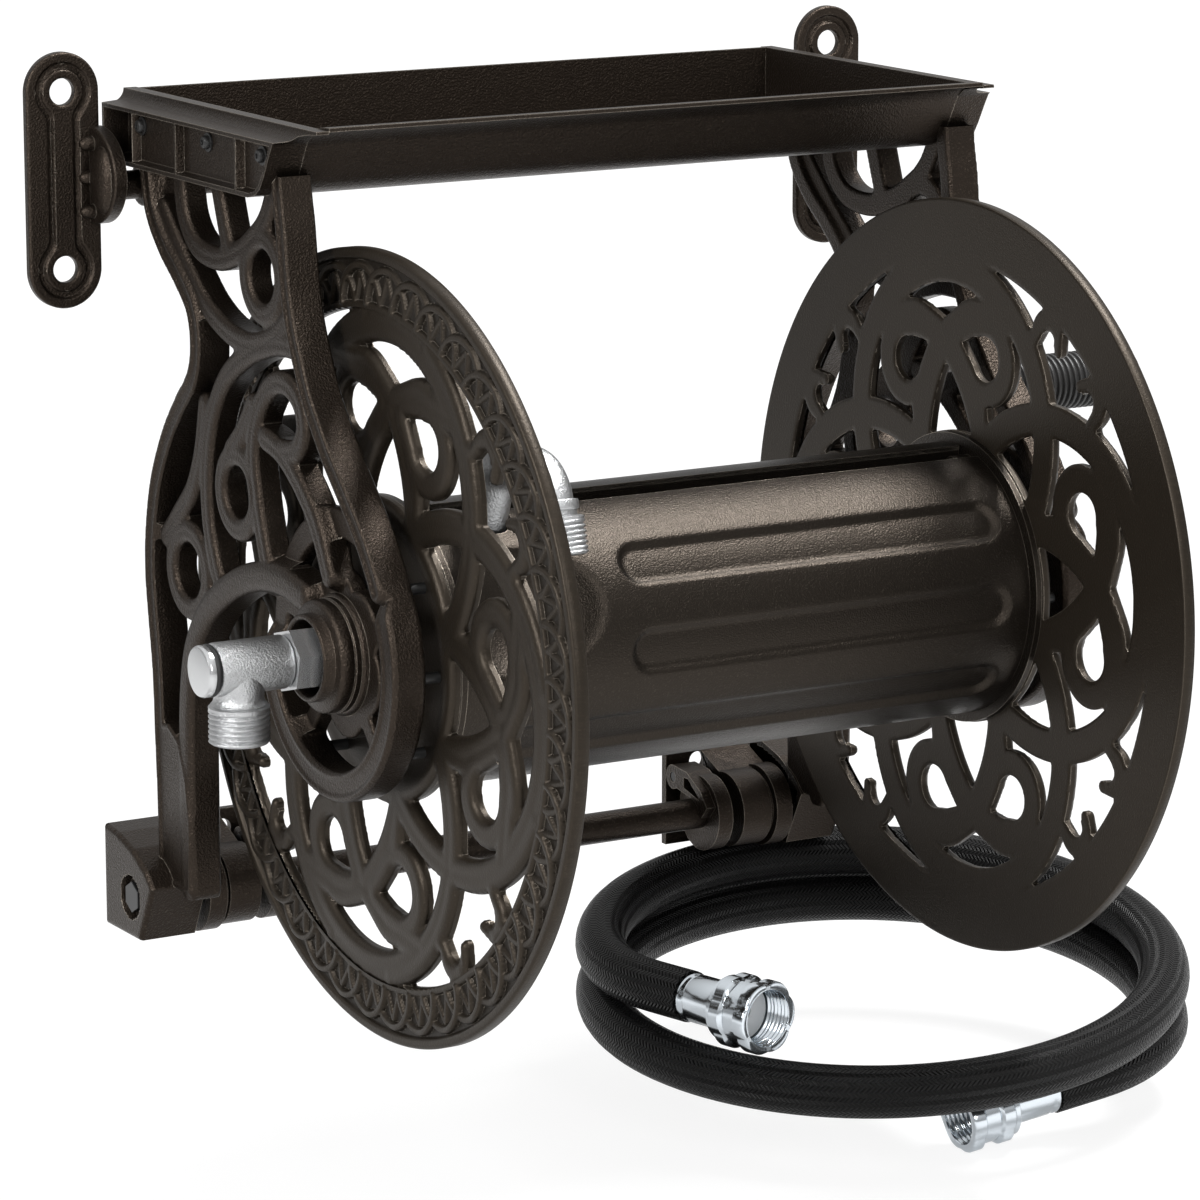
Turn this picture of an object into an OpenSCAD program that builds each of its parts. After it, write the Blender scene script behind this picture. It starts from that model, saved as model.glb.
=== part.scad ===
// Wall mounted garden hose reel with a tray on top, two scroll work side frames, a drum between two
// pierced discs, a hose inlet on the left, a crank on the right and a short leader hose.
// Origin: centre of the four upper wall bolts, on the wall. X runs along the axle to the crank side,
// the reel stands out towards -Y, and Z is up.

/* [Reel] */
// Diameter of the two pierced discs
disc_d = 345; // [325:1:360]
// Thickness of a disc's flat plate
disc_t = 4; // [3:0.5:5]
// Height of the scroll relief on a disc's outer face
relief_t = 1.5; // [0.5:0.25:2.5]
// Clear width between the discs, where the hose winds
reel_w = 295; // [260:1:340]
// Outer diameter of the drum
drum_d = 124; // [110:1:130]
// Wall thickness of the drum's sheet
shell_t = 2; // [1.5:0.25:3]
// Width of the slot along the top of the drum
slot_w = 14; // [8:1:16]
// Turn of the left disc against the upright, seen from the left
disc_turn = 7.5; // [-20:0.5:20]

/* [Side frames] */
// Distance of the axle from the wall
axle_out = 203; // [195:1:215]
// Height of the upper wall bolts' centre above the axle
axle_drop = 182; // [180:1:190]
// Thickness of a side frame along the axle
frame_t = 16; // [13:1:20]
// Running space between a disc and its side frame
frame_gap = 9; // [8:0.5:14]
// Outer diameter of the ring round the axle
ring_d = 125; // [118:1:130]
// Width of the ring's band
ring_w = 12; // [9:0.5:15]
// Diameter of the bearing boss in the middle of the ring
boss_d = 49; // [44:1:54]
// Size of the foot along the wall, up and down
foot_h = 48; // [42:1:54]

/* [Tray] */
// Height of the tray's floor above the axle
tray_z = 190; // [188:1:196]
// Height of the tray's back wall
tray_h = 32; // [26:1:38]
// Depth of the tray's flat floor, front to back
tray_depth = 146; // [130:1:150]
// Thickness of the tray sheet
tray_t = 1.8; // [1.2:0.1:2.6]
// How far the end caps' rims stand out over their panels
cap_rim = 9; // [6:0.5:12]

/* [Wall mounting] */
// Distance between the two upper wall plates, one stud bay
stud_w = 406.4; // [390:0.1:420]
// Distance between the two bolt holes of a plate
plate_pitch = 80; // [70:1:90]
// Width of a wall plate
plate_w = 35.5; // [32:0.5:40]
// Thickness of a wall plate
plate_t = 4; // [3:0.5:5]
// Diameter of the upper wall bolt holes
wall_hole_d = 12; // [9:0.5:14]
// Diameter of the lower brackets' screw holes
low_hole_d = 9; // [6:0.5:11]
// Distance between the lower brackets' screw holes
low_pitch = 260; // [250:1:280]

/* [Rods] */
// Diameter of the upper rod
top_rod_d = 13; // [11:0.5:15]
// Diameter of the lower rod
low_rod_d = 15; // [13:0.5:17]
// Distance of the upper rod's centre from the wall
top_rod_y = 16; // [15:0.5:18]
// Distance of the lower rod's centre from the wall
low_rod_y = 28; // [26:0.5:30]
// Depth of the lower rod's centre below the axle
low_rod_drop = 146.5; // [142:0.5:152]

/* [Inlet and outlet] */
// Outer diameter of the male garden hose thread
thread_d = 26.4; // [25:0.1:28]
// Length of the male hose thread
thread_l = 17; // [13:0.5:20]
// Outer diameter of the water tube, which is also the left journal
tube_d = 22; // [18:0.5:24]
// Bore of the water way
water_d = 12; // [9:0.5:14]
// Size of the hexagon across its flats
hex_af = 25; // [22:0.5:28]
// Distance of the outlet's thread from the axle
outlet_out = 80; // [76:1:86]

/* [Crank] */
// Radius of the crank from the axle to the grip
crank_r = 94; // [70:1:105]
// Angle of the crank from the upright, towards the wall
crank_turn = 39; // [-60:1:60]
// Diameter of the axle shaft on the crank side
shaft_d = 16; // [14:0.5:20]
// Diameter of the grip
grip_d = 27; // [24:0.5:32]
// Length of the ribbed grip
grip_l = 78; // [60:1:90]
// Diameter of the pin that the grip turns on
pin_d = 8; // [6:0.5:10]

/* [Leader hose] */
// Outer diameter of the hose
hose_d = 24; // [20:0.5:24]
// Radius of the coil at the middle of the hose
coil_r = 133; // [120:1:145]
// Rise of the coil from turn to turn
coil_pitch = 24.8; // [24.6:0.1:30]
// Lean of the coil against the wall
coil_lean = 6.5; // [0:0.5:12]
// Diameter of the hose couplings' ferrules
ferrule_d = 22.5; // [20:0.5:24]
// Length of a ferrule
ferrule_l = 24; // [18:1:30]
// Outer diameter of a coupling nut
nut_d = 34.5; // [33:0.5:40]
// Length of a coupling nut
nut_l = 26; // [22:0.5:30]

/* [Hidden] */

$fn = 64;
bronze = "#3a342d";
drum_bronze = "#4a433b";
silver = "#c9cbcc";
black = "#161616";

// Planes along the axle, on the left side
disc_in = -reel_w / 2;
disc_out = disc_in - disc_t;
frame_in = disc_out - relief_t - frame_gap;
frame_out = frame_in - frame_t;
boss_out = frame_out - 9.5;
foot_out = frame_out - 11;
cap_in = frame_in - 4;
cap_panel = cap_in - 5;
cap_out = cap_panel - cap_rim;
plate_x = -stud_w / 2;

// The scroll work is drawn for this disc, this wall distance and this tray height, and follows them
disc_k = disc_d / 345;
frame_ky = axle_out / 203;
frame_kz = tray_z / 190;
hub_r = drum_d / 2 + 5;
wall_y = axle_out;
plate_y = wall_y - plate_t;
top_rod = [wall_y - top_rod_y, tray_z - 10];
low_rod = [wall_y - low_rod_y, -low_rod_drop];
foot_z = -low_rod_drop - 19;
screw_r = drum_d / 2 - 6.5;
screw_d = 5;
// The screws stand 40 degrees apart, the first 1 degree past the axle's level. The right disc is
// the left one turned half round, so its holes start at another angle to meet the same screws.
screw_step = 40;
first_screw = 1;
first_hole_right = 5 * screw_step - 180 - first_screw;
fit = 0.05;
gap = 0.3;

// The drum's slot and flutes, as angles over the front, and the dish that clears a hose coupling
slot_at = 79;
slot_half = asin(slot_w / drum_d);
plate_gap = 3.3;
flute_w = 19;
flute_depth = 2.4;
flute_end = reel_w / 2 - 14;
flutes = [[36, -61, flute_end], [0, -61, flute_end], [-36, -flute_end, flute_end],
    [122, -flute_end, flute_end], [158, -flute_end, flute_end], [194, -flute_end, flute_end]];
outlet_x = disc_in + 35.5;
dish_r = 60;
dish_mouth = 38;
eps = 0.01;

// Places everything drawn about the axle into the wall's frame
module at_axle() { translate([0, -axle_out, -axle_drop]) children(); }

// Extrudes an outline drawn as [y, z] along the axle from x0 to x1
module along_x(x0, x1) { translate([x0, 0, 0]) rotate([90, 0, 90]) linear_extrude(x1 - x0) children(); }

// A round bar along the axle from x0 to x1, centred at p = [y, z]
module bar_x(x0, x1, r, p = [0, 0]) {
    translate([x0, p[0], p[1]]) rotate([0, 90, 0]) cylinder(h = x1 - x0, r = r);
}

// Makes the right hand copy of what is drawn on the left
module to_right() { mirror([1, 0, 0]) children(); }

// One point of a smooth curve through the points a, b, c and d, at t between b and c
function smooth_at(a, b, c, d, t) = 0.5 * (2 * b + (c - a) * t + (2 * a - 5 * b + 4 * c - d) * t * t
    + (3 * b - a - 3 * c + d) * t * t * t);
// A smooth path through the points p, with n steps between two of them
function smooth(p, n = 3) = let (last = len(p) - 1) concat(
    [for (i = [0:last - 1], k = [0:n - 1])
        smooth_at(p[max(i - 1, 0)], p[i], p[i + 1], p[min(i + 2, last)], k / n)], [p[last]]);
// The unit normal of a path at point i, in its plane
function normal_at(p, i) = let (d = p[min(i + 1, len(p) - 1)] - p[max(i - 1, 0)])
    [-d[1], d[0]] / norm(d);

// A cast band of width w along a smooth path through the points p, with round ends
module band(p, w) {
    path = smooth(p);
    last = len(path) - 1;
    polygon(concat([for (i = [0:last]) path[i] + normal_at(path, i) * w / 2],
        [for (i = [last:-1:0]) path[i] - normal_at(path, i) * w / 2]));
    translate(path[0]) circle(d = w, $fn = 16);
    translate(path[last]) circle(d = w, $fn = 16);
}
// A flat ring
module ring2d(r, w, p = [0, 0], fn = 48) {
    translate(p) difference() {
        circle(r, $fn = fn);
        circle(r - w, $fn = fn);
    }
}
// An arc shaped band of mid radius r and width w, from angle a0 to a1
module arc_band(r, w, a0, a1, n = 24) {
    step = (a1 - a0) / n;
    polygon(concat([for (i = [0:n]) (r + w / 2) * [cos(a0 + i * step), sin(a0 + i * step)]],
        [for (i = [n:-1:0]) (r - w / 2) * [cos(a0 + i * step), sin(a0 + i * step)]]));
}
// Fills the corners between the bands of a casting with fillets of radius r
module filleted(r) { offset(r = -r, $fn = 16) offset(r = r, $fn = 16) children(); }

// The rear band, the front leg and the arch that carry the load
rear_line = [[171, 192], [166, 172], [154, 157], [138, 144.5], [125.5, 132], [121.8, 116], [126, 101],
    [140, 86], [153, 70], [165, 48], [171, 25], [172.3, 5], [170, -15], [166.5, -40], [165, -70],
    [163, -100], [162, -130]];
leg_line = [[41, 206], [40, 192], [37.5, 180], [35.5, 165], [33, 150], [29, 137], [23, 123.5], [16, 110],
    [7, 98], [-3, 86], [-13, 76], [-23, 66], [-33, 55], [-41, 44], [-46, 36]];
arch_line = [[141, -130], [141, -70], [139, -42], [133, -22], [120, -5], [104, 8], [84, 20], [62, 27],
    [42, 29], [22, 26]];
// The scrolls between them
scroll_lines = [
    [[30, 128], [50, 127], [75, 119], [98, 105], [112, 85], [118, 60], [117, 38], [111, 20], [104, 8]],
    [[60, 28], [66, 45], [71, 62], [72, 80], [66, 96], [54, 108], [40, 111], [28, 105], [24, 94],
        [30, 84], [42, 81]],
    [[60, 84], [45, 80], [28, 69], [13, 54], [2, 34]],
    [[119, 90], [124, 68], [133, 50], [147, 36], [160, 24]],
    [[141, 192], [137, 172], [125, 160], [107, 157], [90, 160], [72, 168], [58, 179], [50, 192]],
    [[158, 172], [148, 162], [132, 147], [115, 134], [95, 126], [75, 123.5], [55, 127], [38, 134],
        [30, 142]],
    [[104, 192], [99, 178], [93, 162]],
    [[72, 97], [82, 84], [93, 74]]];
// The closed loops, as centre and outer radius
loop_places = [[137, 12, 23], [87, 56, 22], [60, 155, 22]];

function frame_point(p) = [p[0] * frame_ky, p[1] > 0 ? p[1] * frame_kz : p[1]];
function frame_path(line) = [for (p = line) frame_point(p)];

// Load carrying outline of a side frame
module frame_outline() {
    filleted(3) {
        band(frame_path(rear_line), 9.5);
        band(frame_path(leg_line), 9);
        band(frame_path(arch_line), 12);
        arc_band(ring_d / 2 - ring_w / 2, ring_w, 152, 412, 40);
        // The closed leg below the slot
        polygon(frame_path([[169, -66], [167, -138], [138, -138], [136, -66], [152, -60]]));
    }
}
// Thinner scroll work between the load carrying bands
module scroll_outline() {
    filleted(2) {
        for (line = scroll_lines) band(frame_path(line), 11);
        for (p = loop_places) ring2d(p[2], 10.5, frame_point([p[0], p[1]]), 40);
    }
}
// Round plate with five spokes that holds the bearing boss
module spoke_outline() {
    spoke_r = ring_d / 2 - ring_w + 2;
    filleted(2) {
        circle(boss_d / 2 + 8.5, $fn = 48);
        for (a = [25, 100, 165, 230, 310]) rotate(180 - a) translate([0, -4.5]) square([spoke_r, 9]);
        ring2d(ring_d / 2, ring_w, [0, 0], 60);
    }
}
// Side of the foot, as [y, z]
module foot_outline() {
    y1 = wall_y;
    polygon([[y1, foot_z], [y1 - 37, foot_z], [y1 - 51, foot_z + 28], [y1 - 44, foot_z + foot_h * 0.72],
        [y1 - 30, foot_z + foot_h * 0.88], [y1 - 14, foot_z + foot_h * 0.97], [y1, foot_z + foot_h]]);
}
// Foot that stands on the wall: a block, hollow behind, with a ribbed socket for the lower rod
module foot() {
    floor_t = 5;
    difference() {
        union() {
            difference() {
                along_x(foot_out, frame_in + 1) foot_outline();
                along_x(foot_out + floor_t, frame_in + 2) offset(delta = -3.5) foot_outline();
            }
            bar_x(foot_out + floor_t - eps, frame_in + 1, low_rod_d / 2 + 4, low_rod);
            for (side = [1, -1]) along_x(foot_out + floor_t - eps, frame_in - 1) intersection() {
                foot_outline();
                translate([low_rod[0] - 1.5, low_rod[1] + (side > 0 ? low_rod_d / 2 + 1 : -40)])
                    square([3, 40 - (side > 0 ? 0 : low_rod_d / 2 + 1)]);
            }
        }
        bar_x(foot_out - 1, foot_out + 4, 9.8, low_rod);
        bar_x(foot_out, foot_out + 16, 4.2, low_rod);
        bar_x(foot_out + 15, frame_in + 2, low_rod_d / 2 + fit, low_rod);
    }
}
// Cuts an outline, drawn as [y, z], off where the tray rests on it
module below_tray() {
    difference() {
        children();
        polygon(concat(tray_line, [[tray_front - 40, tray_z + 60], [tray_back + 10, tray_z + 60],
            [tray_back + 10, tray_z], [tray_back, tray_z]]));
    }
}
module side_frame() {
    difference() {
        union() {
            along_x(frame_out, frame_in) below_tray() frame_outline();
            along_x(frame_out + 2, frame_in - 2) below_tray() scroll_outline();
            along_x(frame_in - 8, frame_in) spoke_outline();
            bar_x(boss_out, frame_in, boss_d / 2);
            // Eye for the upper rod, on the inner half of the frame
            along_x(frame_in - 10, frame_in) filleted(2) {
                translate(top_rod) circle(top_rod_d / 2 + 3.4, $fn = 40);
                translate([top_rod[0] - 26, top_rod[1] - 5]) square([20, 15]);
            }
        }
        bar_x(boss_out - 1, boss_out + 12, boss_d / 2 - 8);
        bar_x(boss_out, frame_in + 1, tube_d / 2 + 4);
        bar_x(frame_in - 11, frame_in + 1, top_rod_d / 2 + fit, top_rod);
        bar_x(frame_out - 1, frame_in + 1, low_rod_d / 2 + 5, low_rod);
    }
    foot();
}
module side_frame_left() { color(bronze) at_axle() side_frame(); }
module side_frame_right() { color(bronze) at_axle() to_right() side_frame(); }

// Cross section of the tray along the axle, as [y, z] points from the back edge to the front lip
tray_back = axle_out - 4;
tray_front = tray_back - tray_depth;
tray_line = [[tray_back, tray_z + tray_h], [tray_back, tray_z + 5], [tray_back - 1.5, tray_z + 1.5],
    [tray_back - 5, tray_z], [tray_front + 4, tray_z], [tray_front - 3, tray_z + 1.5],
    [tray_front - 8, tray_z + 5], [tray_front - 12, tray_z + 11], [tray_front - 17, tray_z + 20],
    [tray_front - 20, tray_z + 25], [tray_front - 25, tray_z + 29], [tray_front - 33, tray_z + 31],
    [tray_front - 40, tray_z + 31.5]];

// A bent sheet of thickness t that lies above and inside the line p
module sheet(p, t) {
    last = len(p) - 1;
    polygon(concat([for (i = [0:last]) p[i]], [for (i = [last:-1:0]) p[i] - normal_at(p, i) * t]));
}
module tray_pan() {
    color(bronze) at_axle() along_x(cap_in, -cap_in) sheet(tray_line, tray_t);
}
// Outline of an end cap's panel, following the tray
module cap_outline() {
    polygon(concat([for (i = [3:10]) tray_line[i]], [[tray_front - 20, tray_z + 26],
        [tray_back + 3, tray_z + 26], [tray_back + 3, tray_z]]));
}
module tray_end() {
    rib_y = [tray_back + 1, tray_back - 27, tray_back - 71, tray_back - 130];
    // Panel
    along_x(cap_panel, cap_in) cap_outline();
    // Rim along the floor and the front
    along_x(cap_out, cap_panel + eps) difference() {
        cap_outline();
        offset(delta = -2.4) cap_outline();
    }
    // Ribs across the open outer face
    for (y = rib_y) translate([cap_out + 1, y - 1.1, tray_z + 1])
        cube([cap_panel - cap_out, 2.2, 24]);
    // Cove moulded rail along the top
    difference() {
        union() {
            translate([cap_out - 3, tray_front - 20, tray_z + 25.5])
                cube([cap_in - cap_out + 3, tray_back - tray_front + 23, 11]);
            along_x(cap_out - 3, cap_in) polygon([[tray_front - 19, tray_z + 25.5],
                [tray_front - 26, tray_z + 28], [tray_front - 34, tray_z + 30.5],
                [tray_front - 40, tray_z + 31.5], [tray_front - 40, tray_z + 36.5],
                [tray_front - 19, tray_z + 36.5]]);
        }
        translate([cap_out - 3, tray_front - tray_depth / 2, tray_z + 36.5]) rotate([-90, 0, 0])
            cylinder(h = 2 * tray_depth, r = 7.5);
    }
}
module tray_end_left() { color(bronze) at_axle() tray_end(); }
module tray_end_right() { color(bronze) at_axle() to_right() tray_end(); }

// Three pan head screws at each end of the tray
screw_y = [tray_back - 0.15 * tray_depth, tray_back - 0.63 * tray_depth, tray_back - tray_depth];
module tray_screws() {
    color(black) at_axle() for (side = [0, 1]) mirror([side, 0, 0]) for (y = screw_y)
        bar_x(cap_panel - 2.4, cap_panel, 3.6, [y, tray_z + 0.56 * tray_h]);
}

// Rods between the side frames, and the bolts in the feet
module upper_rod() { color(bronze) at_axle() bar_x(plate_x + 15, -plate_x - 15, top_rod_d / 2, top_rod); }
module lower_rod() {
    color(bronze) at_axle() difference() {
        bar_x(foot_out + 16, -foot_out - 16, low_rod_d / 2, low_rod);
        for (side = [0, 1]) mirror([side, 0, 0]) bar_x(foot_out + 15, foot_out + 40, 4, low_rod);
    }
}
module rod_end_bolts() {
    color(silver) at_axle() for (side = [0, 1]) mirror([side, 0, 0]) {
        translate([foot_out + 0.5, low_rod[0], low_rod[1]]) rotate([0, 90, 0])
            cylinder(h = 3.5, d = 13 / cos(30), $fn = 6);
        bar_x(foot_out + 3.9, foot_out + 38, 3.95, low_rod);
    }
}

// Upper wall plate with its two bolt holes and the pressed channel between them
module wall_plate() {
    half = plate_pitch / 2;
    end_r = plate_w / 2;
    mid_z = axle_drop;
    difference() {
        translate([plate_x, wall_y, mid_z]) rotate([90, 0, 0]) {
            linear_extrude(plate_t) union() {
                translate([-end_r, -half]) square([plate_w, plate_pitch]);
                for (s = [-1, 1]) translate([0, s * half]) circle(end_r);
            }
        }
        // Channel
        translate([plate_x, plate_y + 1.2, mid_z]) rotate([90, 0, 0]) linear_extrude(plate_t) {
            translate([-5, -half + 14]) square([10, plate_pitch - 28]);
            for (s = [-1, 1]) difference() {
                translate([0, s * half]) circle(15);
                translate([0, s * half]) circle(10.5);
                translate([-20, s * half - (s > 0 ? -1 : 31)]) square([40, 30]);
            }
        }
        for (s = [-1, 1]) translate([plate_x, wall_y + 1, mid_z + s * half]) rotate([90, 0, 0])
            cylinder(h = plate_t + 2, d = wall_hole_d);
    }
}
module wall_plate_left() { color(bronze) at_axle() wall_plate(); }
module wall_plate_right() { color(bronze) at_axle() to_right() wall_plate(); }

// Cast knuckle that takes the end of the upper rod and is welded on the wall plate. It stops short of
// the tray's end cap.
knuckle_l = 14.1;
module rod_knuckle() {
    x0 = plate_x + plate_w / 2 - 9;
    x1 = x0 + knuckle_l;
    y0 = plate_y - eps;
    z0 = top_rod[1];
    difference() {
        union() {
            along_x(x0, x1) polygon([[y0, z0 + 24], [y0 - 7, z0 + 24], [y0 - 20, z0 + 14], [y0 - 25, z0 + 4],
                [y0 - 25, z0 - 6], [y0 - 20, z0 - 15], [y0 - 7, z0 - 23], [y0, z0 - 23]]);
            // Long dome on the outer side
            along_x(x0 - 3, x0 + 1) union() {
                translate([top_rod[0] + 2, z0 - 8]) circle(7.5);
                translate([top_rod[0] + 2, z0 + 8]) circle(7.5);
                translate([top_rod[0] - 5.5, z0 - 8]) square([15, 16]);
            }
            // Teeth that reach over the edge of the plate
            for (dz = [-16, 0, 16]) {
                bar_x(x0 - 8, x0 + 1, 3.2, [y0 - 3.2, z0 + dz]);
                translate([x0 - 8, y0 - 3.2, z0 + dz]) sphere(3.2);
            }
        }
        bar_x(plate_x + 15, x1 + 1, top_rod_d / 2 + fit, top_rod);
    }
}
module rod_knuckle_left() { color(bronze) at_axle() rod_knuckle(); }
module rod_knuckle_right() { color(bronze) at_axle() to_right() rod_knuckle(); }

// Lower wall bracket: a flat wall plate whose sleeve holds the lower rod
hole_x = -low_pitch / 2;
sleeve_r = low_rod_d / 2 + 11;
module lower_bracket() {
    x0 = hole_x - 28;
    difference() {
        union() {
            // Wall plate
            translate([x0, wall_y - 4, low_rod[1] - 21]) cube([46, 4, 50]);
            // Sleeve with a stepped ring
            bar_x(x0, hole_x - 1, sleeve_r, low_rod);
            bar_x(x0, x0 + 9, sleeve_r + 1.5, low_rod);
            // Saddle between the sleeve and the wall plate
            along_x(x0, hole_x - 1) polygon([[wall_y - 3, low_rod[1] + 26], [low_rod[0] + 6, low_rod[1] + 18],
                [low_rod[0] - 8, low_rod[1] + 16], [low_rod[0] - 8, low_rod[1] - 10],
                [wall_y - 3, low_rod[1] - 19]]);
        }
        // Groove behind the stepped ring
        difference() {
            bar_x(x0 + 9, x0 + 11, sleeve_r + 3, low_rod);
            bar_x(x0 + 8, x0 + 12, sleeve_r - 2, low_rod);
            translate([x0, low_rod[0] + 4, low_rod[1] - 40]) cube([20, 60, 80]);
        }
        // Dished saddle
        translate([hole_x - 10, low_rod[0] + 6, low_rod[1] + 34]) sphere(15);
        bar_x(x0 - 1, hole_x, low_rod_d / 2 + fit, low_rod);
        translate([hole_x, wall_y + 1, low_rod[1] + 19.5]) rotate([90, 0, 0])
            cylinder(h = 8, d = low_hole_d);
    }
}
module lower_bracket_left() { color(bronze) at_axle() lower_bracket(); }
module lower_bracket_right() { color(bronze) at_axle() to_right() lower_bracket(); }

// Hooked arm with a ring round the rod, pinned to the wall side
module bracket_hook() {
    x0 = hole_x + 5 + gap;
    pin = [wall_y - 11, low_rod[1] + 15];
    difference() {
        union() {
            bar_x(x0, x0 + 8, sleeve_r, low_rod);
            along_x(x0, x0 + 13) filleted(1.5) {
                translate(pin) circle(6, $fn = 32);
                polygon([[pin[0], pin[1] + 6], [pin[0] - 13, pin[1] + 5], [low_rod[0] - 9, low_rod[1] + 13],
                    [low_rod[0] - 15, low_rod[1] + 6], [low_rod[0] - 10, low_rod[1]],
                    [low_rod[0], low_rod[1] + 8], [pin[0] - 4, pin[1] - 5]]);
            }
        }
        // Pocket in the side of the arm
        along_x(x0 + 9, x0 + 14) offset(r = -2.2) polygon([[pin[0] - 8, pin[1] + 4],
            [pin[0] - 15, pin[1] + 4], [low_rod[0] - 8, low_rod[1] + 12],
            [low_rod[0] - 12, low_rod[1] + 5], [low_rod[0] - 4, low_rod[1] + 7], [pin[0] - 8, pin[1] - 5]]);
        bar_x(x0 - 1, x0 + 15, low_rod_d / 2 + fit, low_rod);
        bar_x(x0 - 1, x0 + 15, 2.6, pin);
    }
}
module bracket_hook_left() { color(bronze) at_axle() bracket_hook(); }
module bracket_hook_right() { color(bronze) at_axle() to_right() bracket_hook(); }
module hook_pins() {
    color(black) at_axle() for (side = [0, 1]) mirror([side, 0, 0])
        bar_x(hole_x + 5, hole_x + 18, 2.5, [wall_y - 11, low_rod[1] + 15]);
}

// Bearing bushes: a flanged sleeve in each side frame
module bushing(bore_r) {
    difference() {
        union() {
            bar_x(boss_out + 12 + eps, frame_in, tube_d / 2 + 4);
            bar_x(frame_in, frame_in + 2, tube_d / 2 + 7);
        }
        bar_x(boss_out, frame_in + 3, bore_r);
    }
}
module bushing_left() { color(black) at_axle() bushing(tube_d / 2 + fit); }
module bushing_right() { color(black) at_axle() to_right() bushing(shaft_d / 2 + fit); }

// A straight bar of width w with round ends, from a to b
module stroke(a, b, w) {
    d = b - a;
    translate(a) rotate(atan2(d[1], d[0])) translate([0, -w / 2]) square([norm(d), w]);
    for (p = [a, b]) translate(p) circle(d = w, $fn = 20);
}
// Cuts of one of the four petals that pierce a disc, as [u, v] with v outwards through the petal
module petal_cuts() {
    arch_in = 66;
    arch_out = 81;
    // Moustache under the arch
    difference() {
        translate([0, 70]) circle(64.5, $fn = 48);
        for (s = [-1, 1]) translate([s * 25, 103]) circle(24.3, $fn = 24);
        polygon([[-80, -20], [-80, 125.5], [-35, 126], [-14, 124.8], [0, 117.8], [14, 124.8], [35, 126],
            [80, 125.5], [80, -20]]);
    }
    // Nose above the hub
    difference() {
        intersection() {
            translate([-57.9, 48.5]) circle(76.2, $fn = 48);
            translate([57.9, 48.5]) circle(76.2, $fn = 48);
            translate([-30, 0]) square([60, 120]);
        }
        circle(hub_r / disc_k, $fn = 48);
    }
    for (s = [0, 1]) mirror([s, 0]) {
        // Eye
        translate([31.5, 99.5]) circle(10.3, $fn = 24);
        polygon([[31, 109.7], [24, 109.6], [13.5, 107.3], [17.5, 102], [25, 91.6]]);
        // Crescent beside the eye
        difference() {
            translate([0, 70]) circle(arch_in, $fn = 48);
            translate([33, 99]) circle(21.5, $fn = 24);
            translate([70, 0]) circle(arch_out, $fn = 48);
            translate([-100, -50]) square([130.5, 250]);
            translate([0, 110]) square([100, 60]);
        }
        // Sliver between the arch and the rim
        difference() {
            circle(146, $fn = 96);
            translate([0, 70]) circle(arch_out, $fn = 48);
            translate([82, 109.5]) circle(13.2, $fn = 24);
            translate([-200, -200]) square([233, 400]);
            translate([78.5, -200]) square([200, 400]);
            translate([0, -200]) square([200, 314]);
        }
    }
}
// Cuts on the diagonal between two petals, as [s, t] with t outwards
module fleur_cuts() {
    arch = [-49.5, 49.5];
    // Fleur
    difference() {
        intersection() {
            circle(146, $fn = 96);
            translate([-30, 114]) square([60, 40]);
        }
        for (x = arch) translate([x, 49.5]) circle(81, $fn = 48);
        for (s = [0, 1]) mirror([s, 0]) {
            // Shoulder over the lobe, and the curl that hangs from it
            difference() {
                translate([14.2, 120]) square([50, 40]);
                translate([19, 134]) circle(4.6, $fn = 24);
                translate([10, 100]) square([14, 34]);
            }
            stroke([10.5, 135.6], [18, 147], 5.5);
        }
    }
    // Window between the crossing arches and the hub
    difference() {
        intersection() {
            for (x = arch) translate([x, 49.5]) circle(66, $fn = 72);
            translate([-25, 0]) square([50, 120]);
        }
        circle(hub_r / disc_k, $fn = 48);
    }
}
// All cuts of a disc, with their sharp corners cast round
module disc_cuts() {
    scale([disc_k, disc_k]) offset(r = 0.6, $fn = 8) offset(delta = -0.6) {
        for (q = [0:3]) rotate(90 * q) {
            petal_cuts();
            rotate(45) fleur_cuts();
        }
    }
}
module disc(first_hole) {
    difference() {
        union() {
            bar_x(disc_out, disc_in, disc_d / 2);
            // Raised scrolls, rim and hub on the outer face
            along_x(disc_out - relief_t, disc_out + eps) rotate(disc_turn) offset(delta = -2) difference() {
                circle(148 * disc_k, $fn = 72);
                disc_cuts();
            }
            difference() {
                bar_x(disc_out - relief_t, disc_out + eps, disc_d / 2);
                bar_x(disc_out - relief_t - 1, disc_out, disc_d / 2 - 4);
            }
        }
        along_x(disc_out - relief_t - 1, disc_in + 1) rotate(disc_turn) disc_cuts();
        bar_x(disc_out - relief_t - 1, disc_in + 1, 20);
        for (a = [0:screw_step:359]) rotate([a + first_hole, 0, 0])
            bar_x(disc_out - relief_t - 1, disc_in + 1, screw_d / 2 + fit, [-screw_r, 0]);
    }
}
module disc_left() { color(bronze) at_axle() disc(first_screw); }
// The same casting turned round, so its pattern leans the same way when seen from its own side
module disc_right() { color(bronze) at_axle() rotate([0, 0, 180]) disc(first_hole_right); }

// Pressed flute, as a stadium of length l and width w
module stadium(l, w) {
    translate([-l / 2, -w / 2]) square([l, w]);
    for (s = [-1, 1]) translate([s * l / 2, 0]) circle(w / 2);
}
// Turns its children, drawn above the axle towards -Y, to the angle a over the front
module at_angle(a) { rotate([-a, 0, 0]) children(); }
// A tube along the axle of length l, outer radius r and wall t
module tube_x(l, r, t) {
    difference() {
        bar_x(-l / 2, l / 2, r);
        bar_x(-l, l, r - t);
    }
}
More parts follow.
